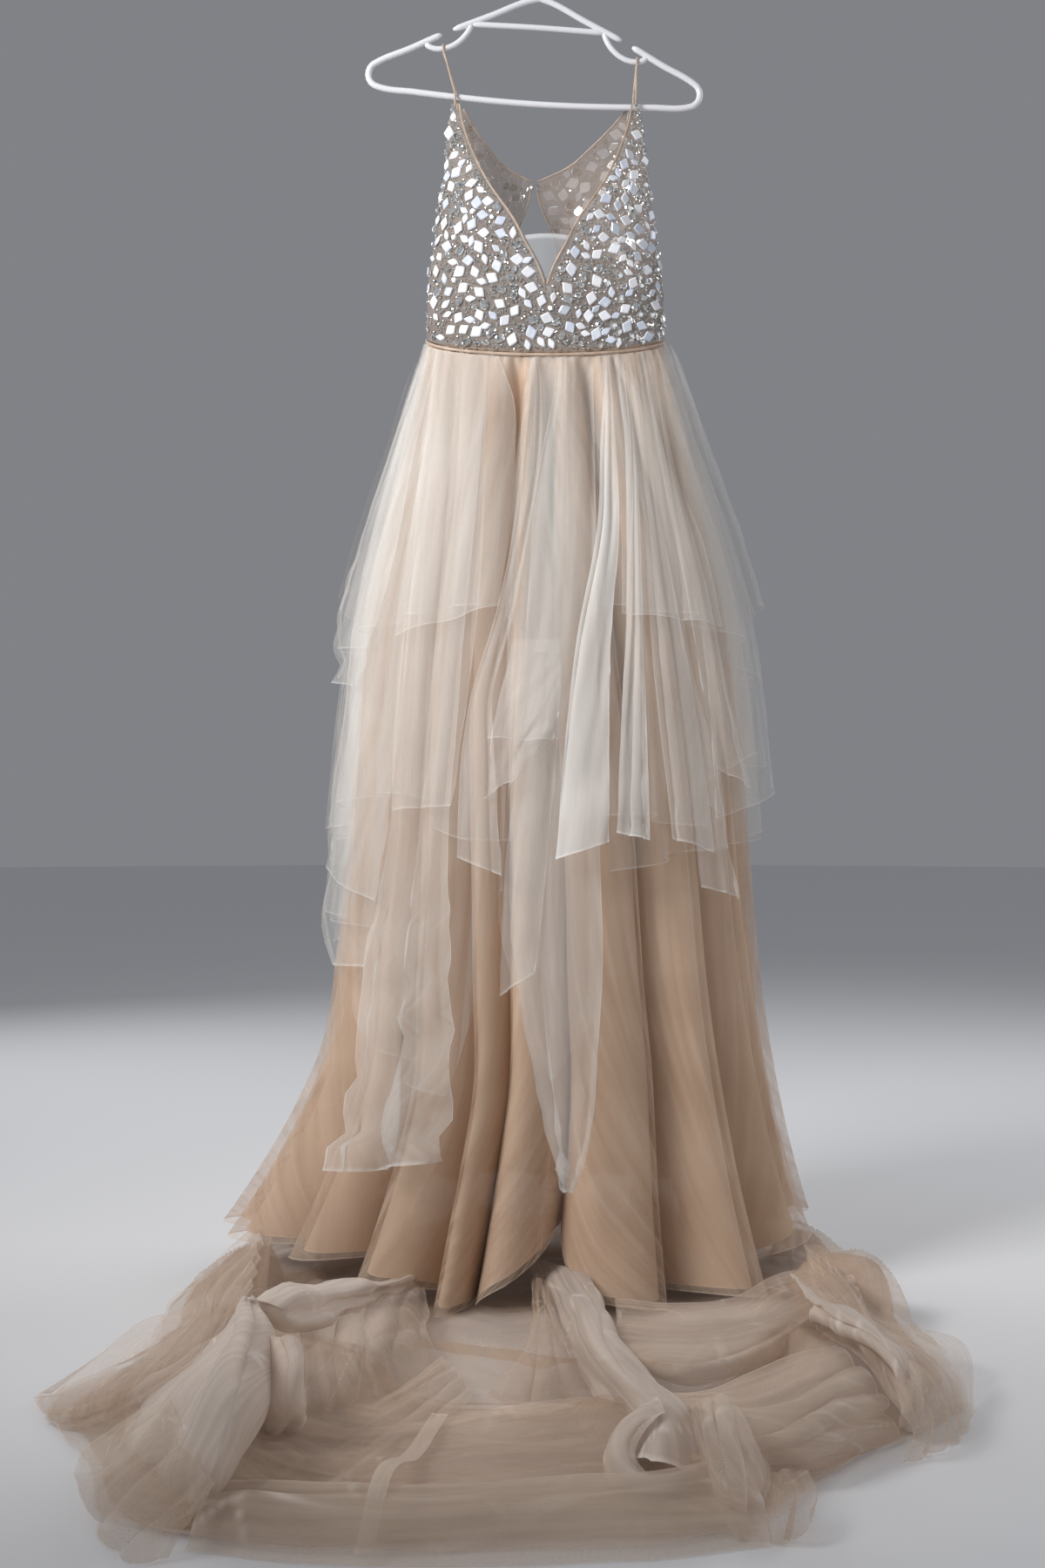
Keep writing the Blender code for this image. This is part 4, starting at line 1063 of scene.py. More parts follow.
#  panels that fall free over the gathers, from the innermost to the outermost: folds,
#  depth of a fold, extra density, crumple, then the left and right edge as places
#  (drop, bearing, distance outside the skirt's rings) from the waist to the hem
PANELS = {
    "long_left": (2, 0.007, 0.16, 0.014, [
        (0.00, -67, 0.003), (0.33, -46, 0.020), (0.59, -45, 0.032), (0.75, -48, 0.040),
        (0.87, -48, 0.046), (1.00, -42, 0.052)], [
        (0.00, -28, 0.003), (0.22, -25, 0.016), (0.43, -25, 0.026), (0.61, -26, 0.034),
        (0.76, -23, 0.040), (0.97, -19, 0.050)]),
    "long_centre": (1, 0.007, 0.20, 0.006, [
        (0.00, -7, 0.003), (0.22, -8, 0.016), (0.43, -9, 0.028), (0.57, -10, 0.036),
        (0.72, -9, 0.044), (0.83, -5, 0.050), (0.93, 0, 0.056), (1.00, 5, 0.060)], [
        (0.00, 22, 0.003), (0.22, 16, 0.016), (0.43, 13, 0.028), (0.63, 12, 0.038),
        (0.76, 12, 0.046), (0.86, 10, 0.052), (0.94, 9, 0.056), (1.00, 6.5, 0.060)]),
    "left_tail": (1, 0.006, 0.08, 0.003, [
        (0.00, -76, 0.003), (0.22, -72, 0.018), (0.49, -70, 0.030), (0.63, -80, 0.034),
        (0.73, -80, 0.036), (0.77, -66, 0.036)], [
        (0.00, -59, 0.003), (0.22, -49, 0.018), (0.49, -44, 0.030), (0.62, -45, 0.036),
        (0.76, -48, 0.042)]),
    "right_tail": (1, 0.006, 0.12, 0.002, [
        (0.00, 47, 0.004), (0.22, 38, 0.020), (0.39, 37, 0.030), (0.52, 37, 0.038),
        (0.66, 38, 0.046)], [
        (0.00, 54, 0.004), (0.22, 45, 0.020), (0.42, 43, 0.031), (0.51, 47, 0.037),
        (0.60, 48, 0.042), (0.68, 51, 0.047)]),
    "centre_lap": (1, 0.006, 0.12, 0.002, [
        (0.00, -5, 0.005), (0.32, -6, 0.026), (0.53, -9, 0.038), (0.63, -11, 0.044),
        (0.78, -11, 0.052)], [
        (0.00, 9, 0.005), (0.32, 5, 0.026), (0.53, 1, 0.038), (0.63, -1, 0.044),
        (0.75, -3, 0.050)]),
    "left_bulge": (1, 0.008, 0.07, 0.003, [
        (0.00, -76, 0.004), (0.18, -80, 0.020), (0.33, -76, 0.030), (0.46, -72, 0.034),
        (0.57, -78, 0.036), (0.65, -84, 0.032)], [
        (0.00, -58, 0.004), (0.18, -47, 0.020), (0.33, -42, 0.032), (0.47, -41, 0.040),
        (0.68, -45, 0.048)]),
    "right_sheer": (1, 0.007, 0.04, 0.002, [
        (0.00, 62, 0.004), (0.22, 53, 0.022), (0.39, 47, 0.036), (0.58, 44, 0.048)], [
        (0.00, 73, 0.004), (0.14, 84, 0.018), (0.25, 90, 0.030), (0.38, 89, 0.038),
        (0.47, 86, 0.040), (0.56, 80, 0.044)]),
    "left_leaf": (2, 0.006, 0.04, 0.002, [
        (0.00, -62, 0.005), (0.18, -46, 0.022), (0.32, -43, 0.034), (0.47, -42, 0.044),
        (0.57, -41, 0.050)], [
        (0.00, -28, 0.005), (0.17, -22, 0.021), (0.32, -20, 0.033), (0.43, -21, 0.041),
        (0.56, -24, 0.048)]),
    "inner_strip": (1, 0.005, 0.12, 0.002, [
        (0.00, -7, 0.006), (0.12, -9, 0.018), (0.23, -11, 0.028), (0.34, -15, 0.036),
        (0.43, -20, 0.043), (0.53, -22, 0.048), (0.62, -22, 0.052)], [
        (0.00, -3, 0.006), (0.05, -2, 0.012), (0.12, -2, 0.020), (0.23, -6, 0.030),
        (0.34, -10, 0.038), (0.42, -14, 0.044), (0.52, -13, 0.048), (0.64, -11, 0.053)]),
    "right_outer": (1, 0.006, 0.10, 0.002, [
        (0.00, 49, 0.006), (0.18, 44, 0.022), (0.31, 43, 0.034), (0.41, 43, 0.042),
        (0.52, 44, 0.050)], [
        (0.00, 58, 0.006), (0.18, 52, 0.022), (0.29, 52, 0.033), (0.35, 52, 0.038),
        (0.47, 54, 0.046), (0.55, 57, 0.052)]),
    "right_leaf": (1, 0.005, 0.14, 0.002, [
        (0.00, 39, 0.006), (0.17, 33, 0.022), (0.36, 28, 0.040), (0.60, 29, 0.055)], [
        (0.00, 44, 0.006), (0.17, 39, 0.022), (0.33, 38, 0.038), (0.42, 39, 0.044),
        (0.53, 40, 0.051), (0.62, 41, 0.056)]),
    "white_strip": (1, 0.003, 0.34, 0.003, [
        (0.00, 33, 0.006), (0.11, 30, 0.018), (0.22, 25, 0.028), (0.34, 21, 0.040),
        (0.48, 17, 0.050), (0.59, 15, 0.056)], [
        (0.00, 38, 0.006), (0.11, 35, 0.018), (0.22, 30, 0.028), (0.34, 26, 0.040),
        (0.46, 24, 0.050), (0.60, 23, 0.057)]),
    "centre": (2, 0.007, 0.05, 0.003, [
        (0.00, 5, 0.006), (0.03, 4, 0.010), (0.13, -2, 0.022), (0.24, -7, 0.033),
        (0.34, -12, 0.042), (0.48, -15, 0.050)], [
        (0.00, 13, 0.006), (0.11, 12.5, 0.020), (0.17, 14, 0.027), (0.22, 14, 0.032),
        (0.38, 7, 0.045), (0.48, 2, 0.052)]),
    "tuck": (1, 0.004, 0.14, 0.005, [
        (0.36, -9, 0.046), (0.46, -13, 0.058), (0.55, -14.5, 0.054)], [
        (0.36, 3, 0.048), (0.45, 2, 0.064), (0.475, 1, 0.058)]),
    "white_fold": (1, 0.003, 0.46, 0.004, [
        (0.00, 27, 0.007), (0.11, 20, 0.020), (0.22, 15, 0.034), (0.34, 8, 0.046),
        (0.46, 4, 0.056), (0.62, 1, 0.062)], [
        (0.00, 30, 0.007), (0.11, 26, 0.020), (0.22, 22, 0.034), (0.36, 16, 0.047),
        (0.48, 14, 0.056), (0.60, 13, 0.061)]),
    "left_sheer": (1, 0.008, 0.05, 0.006, [
        (0.00, -76, 0.005), (0.12, -86, 0.020), (0.25, -90, 0.034), (0.36, -89, 0.040),
        (0.42, -80, 0.030)], [
        (0.00, -60, 0.006), (0.13, -56, 0.022), (0.28, -51, 0.038), (0.43, -55, 0.048)]),
    "left_apron": (2, 0.007, 0.05, 0.001, [
        (0.00, -61, 0.007), (0.11, -51, 0.022), (0.22, -46, 0.036), (0.36, -43, 0.050)], [
        (0.00, -22, 0.008), (0.05, -14, 0.016), (0.13, -11, 0.028), (0.32, -13, 0.050)]),
    "right_apron": (2, 0.006, 0.06, 0.001, [
        (0.00, 26, 0.008), (0.11, 24, 0.024), (0.22, 22, 0.038), (0.33, 19, 0.052)], [
        (0.00, 36, 0.008), (0.05, 43, 0.016), (0.13, 45, 0.028), (0.22, 51, 0.038),
        (0.35, 51, 0.053)]),
}
#  the panels that the hidden sides have too, each with the turn from its place in front
HIDDEN_PANELS = [("long_centre", 172), ("left_bulge", -62), ("right_sheer", 58), ("left_leaf", 178),
                 ("right_outer", 82), ("right_outer", 150), ("left_apron", 184), ("right_apron", 168),
                 ("right_apron", 62), ("left_apron", -76), ("centre", 215), ("centre", 140)]


def panel_lines(left, right, turn, columns=56):
    """Five guides from the left edge to the right: each runs down the skirt, and between
    the edges drop, bearing and distance change evenly."""
    edges = []
    for places in (left, right):
        places = np.array(places, float)
        share = np.append(np.linspace(0.0, 0.995, columns - 1) ** 1.15, 1.0)
        drop = places[0, 0] + (places[-1, 0] - places[0, 0]) * share
        edges.append(np.column_stack([drop, hermite(places[:, 0], places[:, 1:], drop)]))
    across = np.linspace(0.0, 1.0, 5)[:, None, None]
    drop, bearing, outward = np.moveaxis(edges[0] * (1 - across) + edges[1] * across, -1, 0)
    return ring_point(np.radians(bearing + turn), drop, outward)


def build_overlays():
    """Three gathered layers, each standing further out than the one under it, then the free
    panels in front and the ones on the hidden sides."""
    ivory = sheer("ivory tulle", (0.87, 0.845, 0.80), (0.83, 0.79, 0.735), 0.04, 0.15, TULLE_PITCH,
                  0.04, pleats=0.04)
    for layer, hollows, hem, fall, seed, standoff, spread, splits in (
            ("long", LONG_HOLLOWS, LONG_HEM, 0.85, 21, 0.0005, 0.026, (-88, -20, 88, 272)),
            ("middle", MIDDLE_HOLLOWS, MIDDLE_HEM, 0.60, 31, 0.0015, 0.042, (-88, 2, 88, 272)),
            ("short", SHORT_HOLLOWS, SHORT_HEM, 0.35, 41, 0.0025, 0.062, (-88, -5, 88, 272))):
        gathers = Gathers(hollows, fall, seed)
        for word, first, last in zip(("left", "right", "back"), splits[:-1], splits[1:]):
            skirt_layer(f"overlay_tulle_{layer}_{word}", f"overlay_{layer}_{word}", gathers, first, last,
                        lambda b: hem_line(hem, b), lambda d: standoff + spread * d,
                        lambda d: 0.001 + 0.013 * fullness(d) + 0.010 * d, ivory)
    placed = [(word, 0.0, word) for word in PANELS]
    placed += [(word, turn, f"{word}_round_{turn % 360}") for word, turn in HIDDEN_PANELS]
    for number, (word, turn, name) in enumerate(placed):
        folds, depth, density, crumple, left, right = PANELS[word]
        points, edge = folded_sheet(panel_lines(left, right, turn), folds, 0.75, depth,
                                    300 + 7 * number, 0.10, crumple)
        opened = 1.0 - np.exp(-np.linspace(0.0, 1.0, points.shape[1]) / 0.15)
        piece = sheet_piece("overlay_panel_" + name, points, ivory, None,
                            edge + density * opened, 1)
        points.transpose(1, 0, 2)


build_overlays()


# ---- Train -------------------------------------------------------------------
# The champagne skirt's own back length, drawn round both sides to the front and
# left in a loose ring of rolls, with a single ply lying on the floor inside it.

TRAIN_X = -0.02
TRAIN_Y = -0.42
#  bearing, inner radius, outer radius, height
TRAIN = np.array([
    (-180.0, 0.50, 0.735, 0.066), (-158.0, 0.49, 0.725, 0.066), (-138.0, 0.42, 0.610, 0.066),
    (-111.0, 0.31, 0.470, 0.070), (-87.0, 0.17, 0.465, 0.098), (-74.0, 0.16, 0.515, 0.100),
    (-48.0, 0.18, 0.565, 0.085), (-34.0, 0.20, 0.645, 0.070), (-23.0, 0.21, 0.645, 0.060),
    (-6.0, 0.20, 0.612, 0.055), (6.0, 0.20, 0.594, 0.055), (17.0, 0.20, 0.590, 0.058),
    (26.0, 0.21, 0.545, 0.065), (43.0, 0.23, 0.485, 0.080), (65.0, 0.23, 0.482, 0.088),
    (86.0, 0.24, 0.474, 0.085), (112.0, 0.33, 0.485, 0.070), (138.0, 0.42, 0.610, 0.066),
    (155.0, 0.48, 0.715, 0.066), (180.0, 0.50, 0.735, 0.066),
])
#  height at the start, height at the end, width, lean, places along the crest
TRAIN_CRESTS = [
    # low swells under the swags at the left, the front and the right
    (0.070, 0.030, 0.050, 0.4, [(-0.30, -0.60), (-0.30, -0.75), (-0.29, -0.90), (-0.28, -0.98)]),
    (0.050, 0.010, 0.045, 0.4, [(-0.34, -0.35), (-0.39, -0.46), (-0.43, -0.55)]),
    (0.025, 0.030, 0.040, 0.6, [(-0.25, -0.96), (-0.13, -0.97), (0.00, -0.95), (0.12, -0.94)]),
    (0.050, 0.030, 0.045, 0.5, [(0.05, -0.70), (0.09, -0.80), (0.13, -0.88)]),
    (0.060, 0.030, 0.050, 0.5, [(0.26, -0.45), (0.30, -0.58), (0.33, -0.69)]),
    (0.090, 0.025, 0.024, -0.4, [(0.30, -0.20), (0.37, -0.27), (0.42, -0.36), (0.44, -0.42)]),
    # the back: folds that fan out from under the hem
    (0.090, 0.020, 0.026, 0.4, [(-0.31, -0.16), (-0.37, -0.20), (-0.43, -0.25)]),
    (0.090, 0.020, 0.026, -0.4, [(-0.30, 0.04), (-0.36, 0.06), (-0.42, 0.05)]),
    (0.085, 0.015, 0.024, 0.4, [(-0.21, 0.15), (-0.27, 0.20), (-0.31, 0.24)]),
    (0.085, 0.015, 0.026, -0.4, [(-0.10, 0.19), (-0.12, 0.26), (-0.15, 0.30)]),
    (0.085, 0.015, 0.024, 0.4, [(0.02, 0.20), (0.03, 0.26), (0.02, 0.31)]),
    (0.085, 0.015, 0.026, -0.4, [(0.14, 0.18), (0.19, 0.23), (0.21, 0.28)]),
    (0.090, 0.015, 0.024, 0.4, [(0.25, 0.10), (0.32, 0.15), (0.36, 0.18)]),
    (0.090, 0.020, 0.026, 0.4, [(0.29, -0.03), (0.36, -0.05), (0.42, -0.08)]),
]
#  crests of the ply that lies inside the ring
FLOOR_CRESTS = [
    (0.025, 0.020, 0.014, 0.3, [(-0.15, -0.42), (-0.05, -0.47), (0.06, -0.50), (0.14, -0.48)]),
]

#  folds across, lap, depth of a fold in millimetres, extra density, then the guides:
#  places along each as x, y and height above the floor in centimetres
SWAGS = {
    "left_drape": (3, 0.8, 6, 0.45, [
        [(-29.5, -64, 12), (-31.5, -62, 8.5), (-36, -58.5, 5), (-40, -60.5, 3), (-44, -57, 0)],
        [(-29, -66.5, 12.5), (-31, -70.5, 9), (-34, -73, 6), (-36.5, -75.5, 3.5), (-39.5, -74, 0)],
        [(-28.5, -68.5, 13), (-29.5, -78, 10.5), (-31, -84, 7.5), (-33, -86.5, 4), (-35, -84.5, 0)],
        [(-28.5, -68.5, 13), (-28, -84, 12.5), (-28.5, -91.5, 10), (-29.5, -94.5, 6.5), (-32, -89.5, 0)],
        [(-28.5, -68.5, 13), (-26.5, -85.5, 12.5), (-26.5, -95.5, 10), (-27.5, -98, 6.5),
         (-31.5, -92.5, 0)],
        [(-28.5, -65, 12), (-26.5, -73, 10), (-25.5, -82.5, 7.5), (-27.5, -88, 4), (-31, -95, 0)],
        [(-29.5, -59.5, 10), (-28.5, -62.5, 6), (-28, -69.5, 3), (-29.5, -79, 1), (-31.5, -95, 0)]]),
    "left_foot": (3, 1.0, 7, 0.08, [
        [(-35.5, -76, 6), (-39.5, -80, 4), (-42, -80, 2), (-43, -80.5, 0)],
        [(-33, -84, 6), (-35.5, -93.5, 5), (-37.5, -94, 3), (-39.5, -89.5, 0)],
        [(-30.5, -92, 6), (-32.5, -98.5, 5), (-34.5, -99.5, 3), (-37, -97, 0)],
        [(-28.5, -99, 6), (-30, -101, 4.5), (-32, -102.5, 3), (-34, -102, 0)],
        [(-27.5, -98, 5), (-29, -99.5, 3), (-30, -101.5, 2), (-31, -102, 0)]]),
    "left_wing": (4, 1.1, 8, 0.05, [
        [(-36, 1, 6), (-40.5, -5.5, 3), (-41, -32, 3), (-44, -41.5, 4), (-47, -50.5, 2.5), (-50.5, -55, 0)],
        [(-32.5, -26, 9), (-35.5, -37, 7), (-37, -54, 6), (-39.5, -60, 5), (-43.5, -62, 3),
         (-51.5, -57, 0)],
        [(-30.5, -46.5, 11), (-32.5, -53.5, 9), (-34.5, -63, 7), (-38, -66.5, 5),
         (-41.5, -68.5, 3), (-48, -65, 0)],
        [(-29.5, -57.5, 11.5), (-31.5, -59.5, 9), (-34, -64, 6), (-36.5, -69, 4), (-40, -69, 2),
         (-45, -66.5, 0)]]),
    "left_curl": (2, 0.8, 5, 0.45, [
        [(-26.5, -73, 11), (-26.5, -71.5, 8), (-26.5, -72.5, 5), (-27.5, -70.5, 2), (-29.5, -69, 0)],
        [(-25, -79, 12), (-24, -82, 10), (-24.5, -82.5, 7), (-25.5, -78.5, 3.5), (-27, -71.5, 0)],
        [(-23.5, -80.5, 12), (-22.5, -82.5, 10.5), (-22.5, -83, 8), (-23.5, -78, 4), (-24.5, -71.5, 0)],
        [(-23, -75.5, 10), (-23, -72.5, 7), (-23, -74, 5), (-23, -72, 2), (-23.5, -71, 0)]]),
    "left_cuff": (2, 0.8, 5, 0.45, [
        [(-29, -61.5, 11.5), (-28, -55, 11), (-26, -43.5, 9), (-22.5, -34, 7), (-18.5, -24, 5),
         (-15, -13.5, 3)],
        [(-28.5, -65, 12), (-26.5, -64, 12), (-24, -58, 11), (-21.5, -47.5, 9), (-18, -32, 6),
         (-15, -17.5, 3.5)],
        [(-28, -65.5, 11.5), (-26, -65.5, 11), (-24, -61, 10), (-21, -49, 8), (-18.5, -34, 5.5),
         (-15, -17, 3)],
        [(-28, -63, 10), (-26, -62, 8.5), (-24, -59.5, 8), (-21, -47, 6.5), (-18.5, -32.5, 4.5),
         (-15.5, -16, 2.5)],
        [(-28.5, -56, 8), (-27.5, -51, 5.5), (-25.5, -49, 5), (-22, -39, 4), (-19, -26.5, 2.5),
         (-16, -11, 1)]]),
    "inner_left": (4, 1.0, 6, 0.10, [
        [(-25, -57.5, 7), (-23.5, -67, 6), (-23, -72, 4), (-23.5, -70.5, 0)],
        [(-22.5, -52.5, 7), (-21.5, -64, 6), (-21, -70.5, 4), (-21.5, -70, 0)],
        [(-20.5, -44, 6), (-19.5, -60.5, 6), (-19, -67.5, 4), (-19.5, -68, 0)],
        [(-18.5, -30.5, 4.5), (-17.5, -51.5, 5), (-17, -61, 3.5), (-16.5, -62, 0)],
        [(-16, -18, 3), (-15, -42, 4), (-14, -52.5, 3), (-13.5, -53, 0)],
        [(-15, -10.5, 2), (-13, -34, 3), (-12, -47.5, 3), (-10.5, -46.5, 0)]]),
    "front_fan": (4, 1.1, 5, 0.04, [
        [(-11, -48.5, 2), (-16, -63, 2), (-20.5, -71.5, 1.5), (-24, -77.5, 1)],
        [(-9.5, -54, 2), (-15, -71, 2.5), (-19, -80, 2), (-24, -86.5, 1)],
        [(-8.5, -58.5, 2), (-13.5, -76.5, 2.5), (-17.5, -86, 2), (-22, -92.5, 1)],
        [(-7.5, -63, 2), (-11.5, -78.5, 2), (-15.5, -88, 1.5), (-19, -96.5, 1)]]),
    "centre_veil": (3, 1.1, 6, 0.00, [
        [(-1.5, -17, 3), (-2.5, -49, 3), (-4.5, -55.5, 2), (-6, -55, 0)],
        [(-0.5, -17, 3.5), (-1.5, -51, 4), (-2, -59, 3), (-2.5, -59, 0)],
        [(-0.5, -17, 3.5), (0.5, -51, 4), (1, -59, 3), (1.5, -59, 0)],
        [(0.5, -17, 3), (2, -51, 3), (4, -57, 2), (5.5, -57, 0)]]),
    "twisted_roll": (2, 0.8, 5, 0.42, [
        [(-1.5, -4.5, 2), (0.5, -26, 1.5), (2.5, -43, 1), (5, -59, 1), (7, -71, 1), (6.5, -82, 1)],
        [(0.5, -11, 3.5), (2.5, -36.5, 4), (4, -56.5, 4.5), (6.5, -69, 4.5), (8, -78, 4), (7, -86, 3)],
        [(2.5, -19, 5), (4.5, -44.5, 6), (5.5, -64.5, 7), (7.5, -76, 7), (9.5, -84, 6), (8.5, -90, 4)],
        [(4, -17, 4), (6, -40.5, 5), (7, -57, 5.5), (9.5, -67.5, 5), (12, -79, 4.5), (11.5, -89, 2.5)],
        [(4.5, -13, 2), (6.5, -32, 2), (8, -47, 2), (10, -59, 2), (13, -74, 2), (13, -86, 0)]]),
    "twist_end": (1, 0.8, 3, 0.40, [
        [(9.5, -80, 6), (5.5, -82, 4), (4.5, -86, 2), (6, -90.5, 0), (10, -92, 0), (13, -88, 1)],
        [(9.5, -82, 7), (6.5, -85, 6), (5.5, -88.5, 4.5), (7, -91.5, 3), (9.5, -92, 3), (12, -89, 3)],
        [(10, -84, 6.5), (8, -86, 5.5), (7, -88, 4), (8, -89.5, 3), (9.5, -90, 2.5), (11, -88.5, 2)]]),
    "hem_swag": (3, 1.0, 6, 0.12, [
        [(8, -26, 3), (13.5, -28, 3), (20.5, -26, 3), (28.5, -17, 4), (33.5, -17, 5)],
        [(7.5, -44, 4), (12.5, -49.5, 4.5), (19, -47, 4.5), (27, -36.5, 5.5), (34, -27, 6)],
        [(7.5, -57, 5), (12.5, -62.5, 5), (18.5, -58.5, 5), (26.5, -48.5, 6), (34.5, -32.5, 6.5)],
        [(8, -57.5, 3.5), (13.5, -60.5, 2.5), (20, -56.5, 2.5), (27.5, -46, 3), (35, -32.5, 4.5)]]),
    "right_roll": (2, 0.8, 6, 0.42, [
        [(28.5, -22.5, 5), (32.5, -35.5, 5), (35, -45.5, 5), (37, -52, 4), (38, -57, 2), (36, -64.5, 0)],
        [(27, -42.5, 8), (29.5, -58, 9), (32, -65.5, 8.5), (34, -70, 7), (34.5, -71, 4.5), (35, -66, 0)],
        [(27, -51, 8), (29, -62, 8.5), (31.5, -68.5, 8), (32.5, -72.5, 6.5), (33, -72.5, 4),
         (34, -67.5, 0)],
        [(28.5, -46, 4), (31, -52, 4), (33, -55, 3), (33.5, -64, 3), (33.5, -68, 2), (33, -69, 0)]]),
    "right_wing": (4, 1.1, 7, 0.05, [
        [(33, 8.5, 4), (37, -11.5, 4), (36.5, -33.5, 3), (39.5, -43, 4), (42.5, -46.5, 4), (42, -61.5, 0)],
        [(31, -16.5, 6), (33, -39, 7), (34, -54, 6), (36.5, -60.5, 6), (38.5, -65, 5), (39, -69.5, 0)],
        [(29, -39, 7), (31, -58.5, 8), (33, -67.5, 7), (35, -73, 6), (36, -74.5, 4), (35.5, -74, 0)],
        [(28.5, -50, 5), (30.5, -64, 6), (31, -76, 6), (32, -79.5, 5), (33, -78, 3), (32, -78, 0)]]),
    "right_bunch": (3, 1.1, 5, 0.22, [
        [(13, -76.5, 5), (13, -85, 4), (13.5, -89.5, 2), (15.5, -97.5, 0)],
        [(13.5, -87, 8.5), (13.5, -95.5, 7.5), (14, -98, 5), (15.5, -97.5, 0)],
        [(15.5, -86, 8), (15.5, -93, 7), (16, -96.5, 4.5), (16, -97, 0)],
        [(18, -76.5, 3), (18.5, -83, 2.5), (18.5, -88.5, 2), (16.5, -96.5, 0)]]),
    "right_swags": (4, 1.0, 6, 0.16, [
        [(9, -65.5, 3), (14, -71, 5), (21, -65.5, 6), (28.5, -59, 6)],
        [(12.5, -76.5, 5), (17, -79, 6), (23, -75, 6.5), (29.5, -69, 6.5)],
        [(15, -83.5, 5), (19.5, -84, 5.5), (25, -80, 6), (31, -72.5, 5)],
        [(17, -86, 3.5), (20.5, -86.5, 4), (26, -81.5, 4), (31.5, -72.5, 3)],
        [(19, -80.5, 0), (23, -80.5, 0), (27.5, -76.5, 0), (33.5, -70, 0)]]),
    "right_corner": (2, 1.0, 5, 0.05, [
        [(18.5, -86.5, 2), (17, -95.5, 2), (16.5, -97.5, 0)],
        [(19.5, -93, 4), (19, -99.5, 3), (19, -98, 0)],
        [(22, -89, 3), (22, -94, 2), (21.5, -93.5, 0)]]),
    "front_arcs": (5, 1.3, 8, 0.00, [
        [(-27, -73.5, 2), (-17, -76.5, 3), (-6, -70.5, 3), (5, -67, 3), (13.5, -76.5, 3)],
        [(-27.5, -86, 2), (-17, -86, 2), (-5.5, -81.5, 2), (4.5, -78.5, 2), (13.5, -87, 3)],
        [(-27.5, -91.5, 1.5), (-17, -95, 1.5), (-5.5, -92.5, 1.5), (4, -88, 1.5), (13.5, -92, 2)],
        [(-27.5, -96.5, 1), (-17.5, -99.5, 1), (-5.5, -99, 1), (4.5, -96.5, 1), (14, -97, 1.5)]]),
    "front_band": (2, 0.8, 5, 0.16, [
        [(-26, -88, 1.5), (-20, -91, 2), (-12, -92, 2), (0, -91, 2), (8, -90, 2.5), (15, -88, 3)],
        [(-27.5, -92, 3), (-20, -96, 4), (-12, -97.5, 4.5), (0, -97, 5), (9, -95.5, 5), (16, -93, 5)],
        [(-29, -97, 2.5), (-20, -101, 3), (-12, -102, 3), (0, -101, 3), (9, -99, 3.5), (17, -96, 3.5)],
        [(-30, -100, 0), (-21, -103, 0), (-12, -104, 0), (0, -103.5, 0), (9, -102, 0), (17.5, -99, 0)]]),
    "front_seam": (1, 0.0, 0, 0.25, [
        [(-16, -103.5, 1), (-15, -97.5, 5), (-13, -85.5, 3.5), (-11, -73.5, 3.5)],
        [(-14.5, -103.5, 1), (-13.5, -98, 5), (-11.5, -86.5, 3.5), (-9.5, -74, 3.5)]]),
}


def lay_over(crests, x, y, seed):
    """Height of cloth lying over crests, and how far each place is pushed sideways.
    A crest stands as e to the minus 1.5 power of the distance from its line over its
    width, wider beyond its lean; smaller folds run beside it, and crests join as the
    cube root of the sum of their cubes."""
    flat = np.stack([x.ravel(), y.ravel()], axis=-1)
    cubes = np.zeros(len(flat))
    push = np.zeros((len(flat), 2))
    for number, (high, low, width, lean, places) in enumerate(crests):
        line = smooth_path(places, 14)
        start, step = line[:-1], np.diff(line, axis=0)
        away = flat[:, None] - start[None]
        share = (away * step).sum(-1) / (step ** 2).sum(-1)
        foot = away - share.clip(0, 1)[..., None] * step
        distance = np.linalg.norm(foot, axis=-1)
        nearest = distance.argmin(axis=1)
        rows = np.arange(len(flat))
        along = (nearest + share.clip(0, 1)[rows, nearest]) / len(step)
        near_step = step[nearest] / np.linalg.norm(step[nearest], axis=1)[:, None]
        side = np.stack([near_step[:, 1], -near_step[:, 0]], axis=-1)
        signed = (foot[rows, nearest] * side).sum(-1)
        far = distance[rows, nearest]
        wander = waver(seed + number, 9.0 * along, 30.0 * flat[:, 0])
        one_sided = width * (1.0 + 0.35 * wander) * (1.0 + 0.45 * np.tanh(-lean * signed / width))
        stand = np.exp(-(far / one_sided) ** 1.5)
        beside = 1.0 + 0.22 * np.cos(2 * np.pi * far / (1.25 * width) + 2.0 * wander)
        ends = np.sin(np.pi * (0.08 + 0.84 * along)) ** 0.35
        tall = (high + (low - high) * along) * ends
        rise = tall * (stand + 0.16 * (beside - 1.0) * np.exp(-(far / (2.6 * width)) ** 2))
        cubes += rise.clip(0) ** 3
        push += (lean * 0.55 * tall * stand ** 2)[:, None] * side
    return np.cbrt(cubes).reshape(x.shape), push.reshape(*x.shape, 2)


def train_at(bearing, column):
    """A column of the ring's table, with the bearing brought within half a turn."""
    degrees = (np.degrees(bearing) + 180.0) % 360.0 - 180.0
    return table_at(TRAIN, degrees, column)


def on_floor(bearing, radius):
    """A place on the floor by its bearing and distance from a point before the gown."""
    return TRAIN_X + radius * np.sin(bearing), TRAIN_Y - radius * np.cos(bearing)


